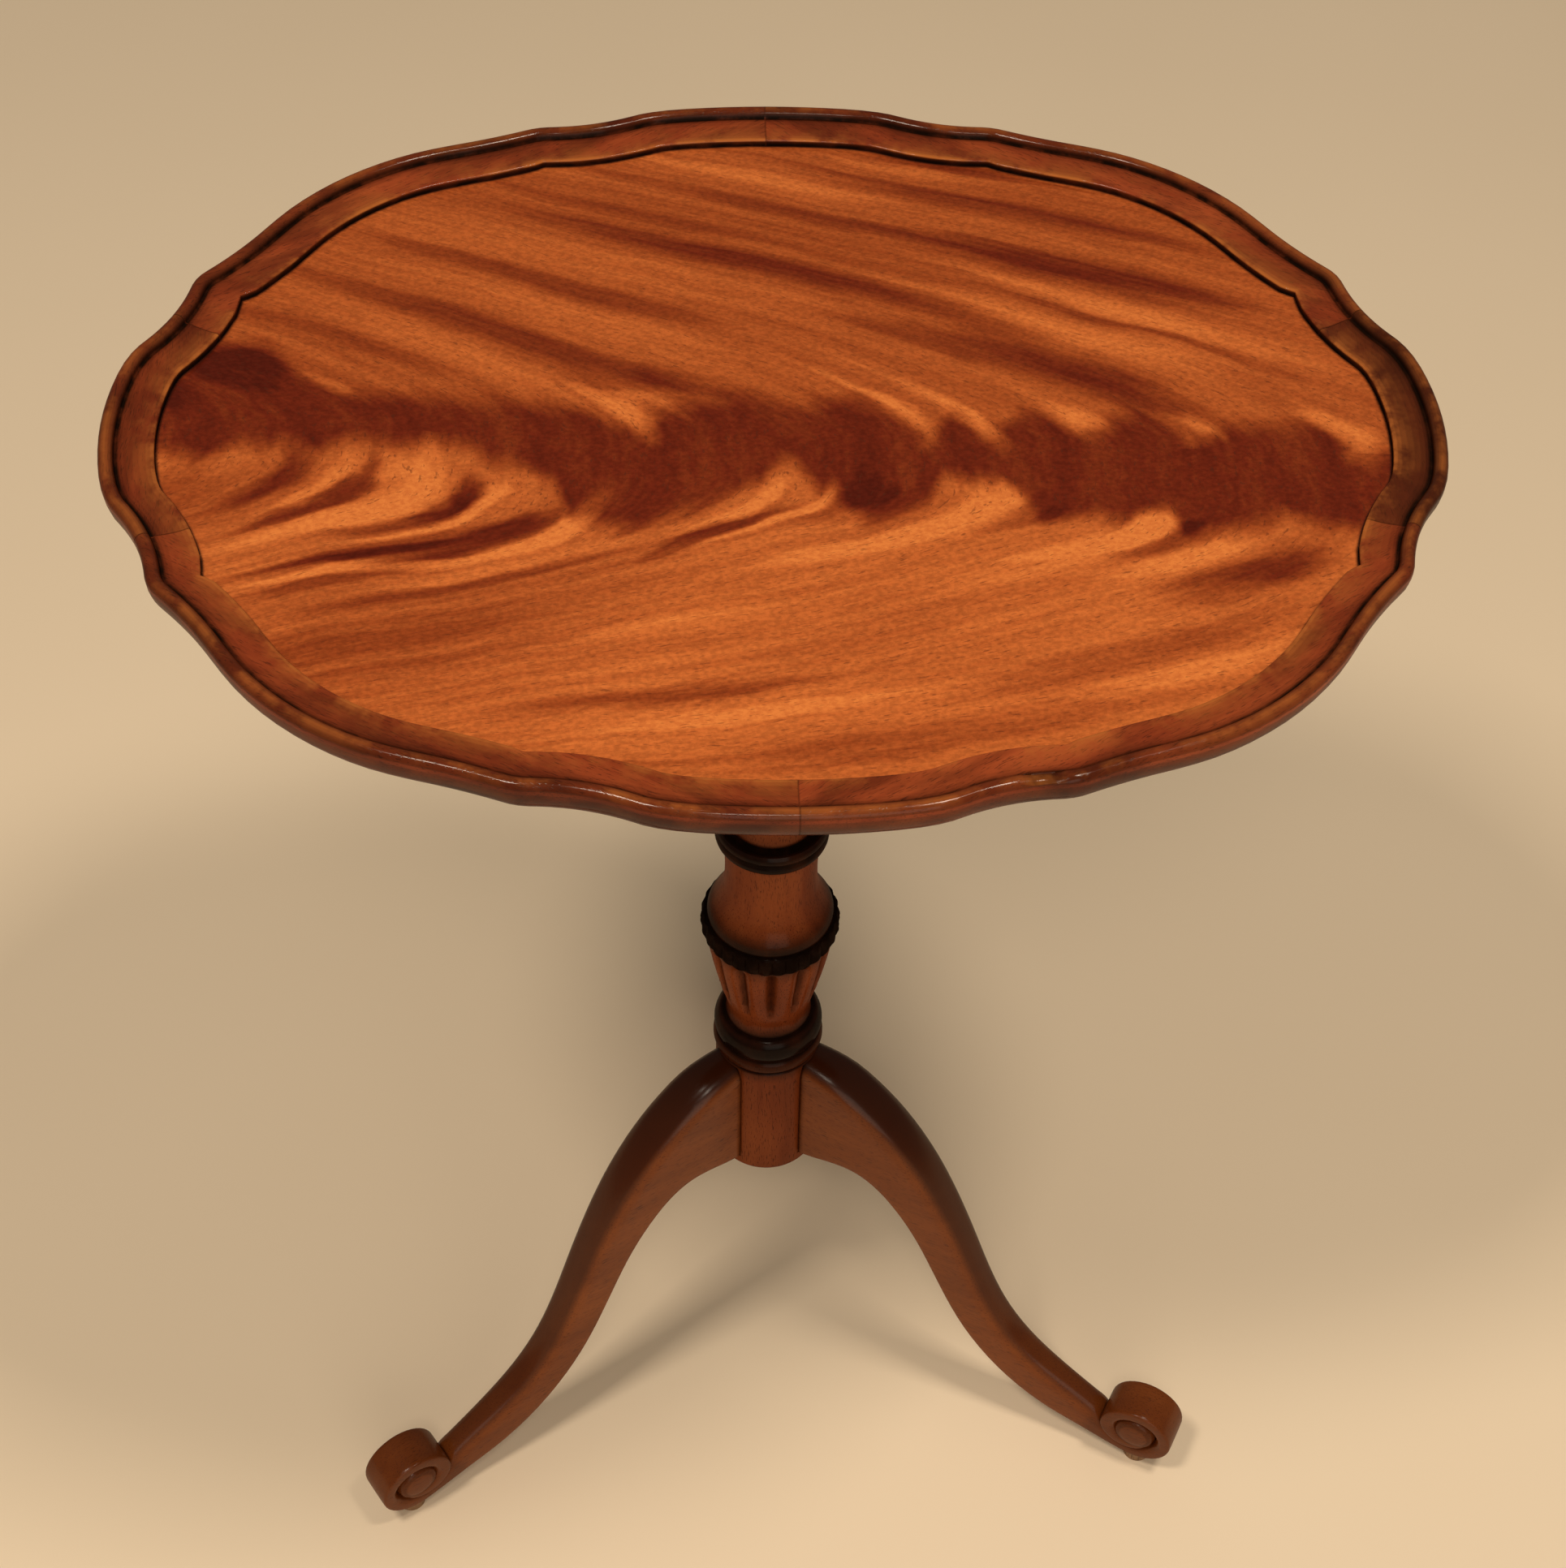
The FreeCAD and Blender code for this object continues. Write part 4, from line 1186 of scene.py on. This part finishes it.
def leg_pieces(material):
    """the blank, copied to each of the three places"""
    blank = leg_blank()
    soften(blank)
    smooth(blank, 50)
    for k, (node, angle) in enumerate(LEG_ANGLES.items()):
        leg = copy_piece(blank, node.replace("_leg", "_cabriole_leg"))
        lay_grain(leg, 0.0, Vector((0.23 * k, 0.4 * k, 0.0)))
        turn_about_column(leg, angle)
        finish_piece(leg, material, node)
    throw_away(blank)


# Finishes

# How dark the wood is at each height, in millimetres: darker tone in the turned rings and on the lip crest,
# painted shade at the foot of the bulb, in the quirk under the beads and under the lip
COLUMN_TONE_AND_SHADE = [
    (120, 0.4), (133, 0.3), (150, 0.2), (188, 0.2), (193, 0.6), (194.5, 1.0), (196, 0.8), (200.5, 0.8),
    (202, 1.0), (211, 1.0), (214, 0.85), (218, 0.4), (228, 0.15), (255, 0.12), (261, 0.5),
    (263.5, 1.0), (272.5, 1.0), (276, 0.95), (278.6, 0.62), (281, 0.2), (286, 0.0), (294, 0.0), (313, 0.1),
    (316, 0.7), (317, 1.0), (326, 1.0), (328, 0.3), (340, 0.0), (440, 0.0), (449, 0.7), (457, 0.7),
    (462, 0.1),
]
# painted shade under the lip, darker tone on the lip crest
RIM_TONE_AND_SHADE = [
    (500, 0.36), (508, 0.55), (513, 0.6), (516.0, 0.4), (516.5, 0.0), (517.5, 0.0), (517.9, 0.56),
    (519.0, 0.56), (520.0, 0.48), (521.0, 0.48),
]


def dress_part():
    """makes the pieces that replace CAD nodes, and gives the other nodes their materials"""
    flame = flame_mahogany()
    rim_wood = solid_mahogany(
        "rim_mahogany", (0.095, 0.0125, 0.0038), (0.215, 0.036, 0.01), (0.335, 0.067, 0.0182),
        0.35, 0.12, tone_and_shade_by_height=RIM_TONE_AND_SHADE, mottled=0.52)
    column_wood = solid_mahogany(
        "turned_mahogany", (0.12, 0.023, 0.006), (0.192, 0.041, 0.0112), (0.262, 0.064, 0.017),
        0.15, 0.16, by_grain=False, tone_and_shade_by_height=COLUMN_TONE_AND_SHADE)
    leg_wood = solid_mahogany(
        "leg_mahogany", (0.14, 0.032, 0.0058), (0.2, 0.05, 0.0092), (0.258, 0.07, 0.0138),
        0.42, 0.21, plain=0.08, mottled=0.15)
    ring, field = crust_rim_and_field()
    rim_pieces(ring, rim_wood)
    veneer_sheet(field, flame)
    column_piece(column_wood)
    leg_pieces(leg_wood)

    dressed = (
        (plain_wood("under_board", (0.09, 0.032, 0.012), (0.195, 0.08, 0.032)), ["top_board"]),
        (plain_wood("bearer_wood", (0.05, 0.016, 0.006), (0.115, 0.04, 0.014)), ["bearer_block"]),
        (plain_wood("wedge_wood", (0.3, 0.2, 0.1), (0.48, 0.34, 0.19), UPRIGHT), ["column_wedge"]),
        (plain_wood("pad_wood", (0.16, 0.085, 0.04), (0.34, 0.2, 0.11), UPRIGHT),
         ["front_left_pad", "front_right_pad", "back_pad"]),
        (old_metal("screw_steel", (0.42, 0.41, 0.39), (0.1, 0.06, 0.04), 0.35, 0.5),
         ["block_screws", "plate_screws"]),
        (old_metal("plate_iron", (0.09, 0.085, 0.08), (0.05, 0.025, 0.015), 0.5, 0.5), ["base_plate"]),
        (old_metal("nail_brass", (0.55, 0.4, 0.16), (0.16, 0.1, 0.04), 0.35, 0.4), ["pad_nails"]),
    )
    for material, nodes in dressed:
        for node in nodes:
            coat_with(frame["nodes"][node], material)


# Floor, light and camera

WARM_LIGHT = (1.0, 0.86, 0.7)
WARM_SKY = (1.0, 0.88, 0.72, 1)
# Lamps: place, what they shine on, size and power
LAMPS = {
    "key_left": ((-0.75, -0.65, 2.4), (0, 0, 0.4), 0.35, 20),
    "key_right": ((0.65, -0.4, 2.4), (0, 0, 0.4), 0.35, 18),
    "front_top": ((-0.1, -1.55, 2.25), (0, 0, 0.2), 0.4, 8),
    "front_fill": ((0.4, -2.4, 1.1), (0, 0, 0.2), 1.6, 13),
}


def studio():
    """plain pale floor under plain soft light"""
    put_down()
    bpy.ops.mesh.primitive_plane_add(size=12, location=(0, 0, 0))
    floor = name_piece("floor")
    floor.data.materials.append(pale_floor())

    bpy.context.scene.view_settings.view_transform = "Standard"
    world = bpy.data.worlds.new("studio")
    bpy.context.scene.world = world
    world.use_nodes = True
    sky = world.node_tree.nodes["Background"]
    sky.inputs["Color"].default_value = WARM_SKY
    sky.inputs["Strength"].default_value = 0.18

    for name, (place, target, size, power) in LAMPS.items():
        put_down()
        bpy.ops.object.light_add(type="AREA", location=place)
        lamp = name_piece(name)
        lamp.data.size = size
        lamp.data.energy = power
        lamp.data.color = WARM_LIGHT
        lamp.rotation_euler = (Vector(place) - Vector(target)).to_track_quat("Z", "Y").to_euler()


def photo_camera():
    """the photograph's viewing place, 0.73 m in front of the column and well above the top"""
    yaw, pitch, roll = math.radians(5.1), math.radians(47.83), math.radians(-2.99)
    forward = Vector((math.sin(yaw) * math.cos(pitch), math.cos(yaw) * math.cos(pitch), -math.sin(pitch)))
    right = Vector((math.cos(yaw), -math.sin(yaw), 0))
    down = forward.cross(right)
    turned_right = right * math.cos(roll) + down * math.sin(roll)
    turned_down = down * math.cos(roll) - right * math.sin(roll)
    put_down()
    bpy.ops.object.camera_add(location=(0, 0, 0))
    camera = name_piece("photo_camera")
    axes = Matrix((turned_right, -turned_down, -forward)).transposed()
    camera.matrix_world = Matrix.Translation((-0.0335, -0.7264, 1.1378)) @ axes.to_4x4()
    camera.data.sensor_width = 36.0
    camera.data.lens = 67.19
    camera.data.shift_x = -0.0471
    camera.data.shift_y = 0.0125
    camera.data.clip_start = 0.01
    bpy.context.scene.camera = camera


photo_camera()
dress_part()
studio()
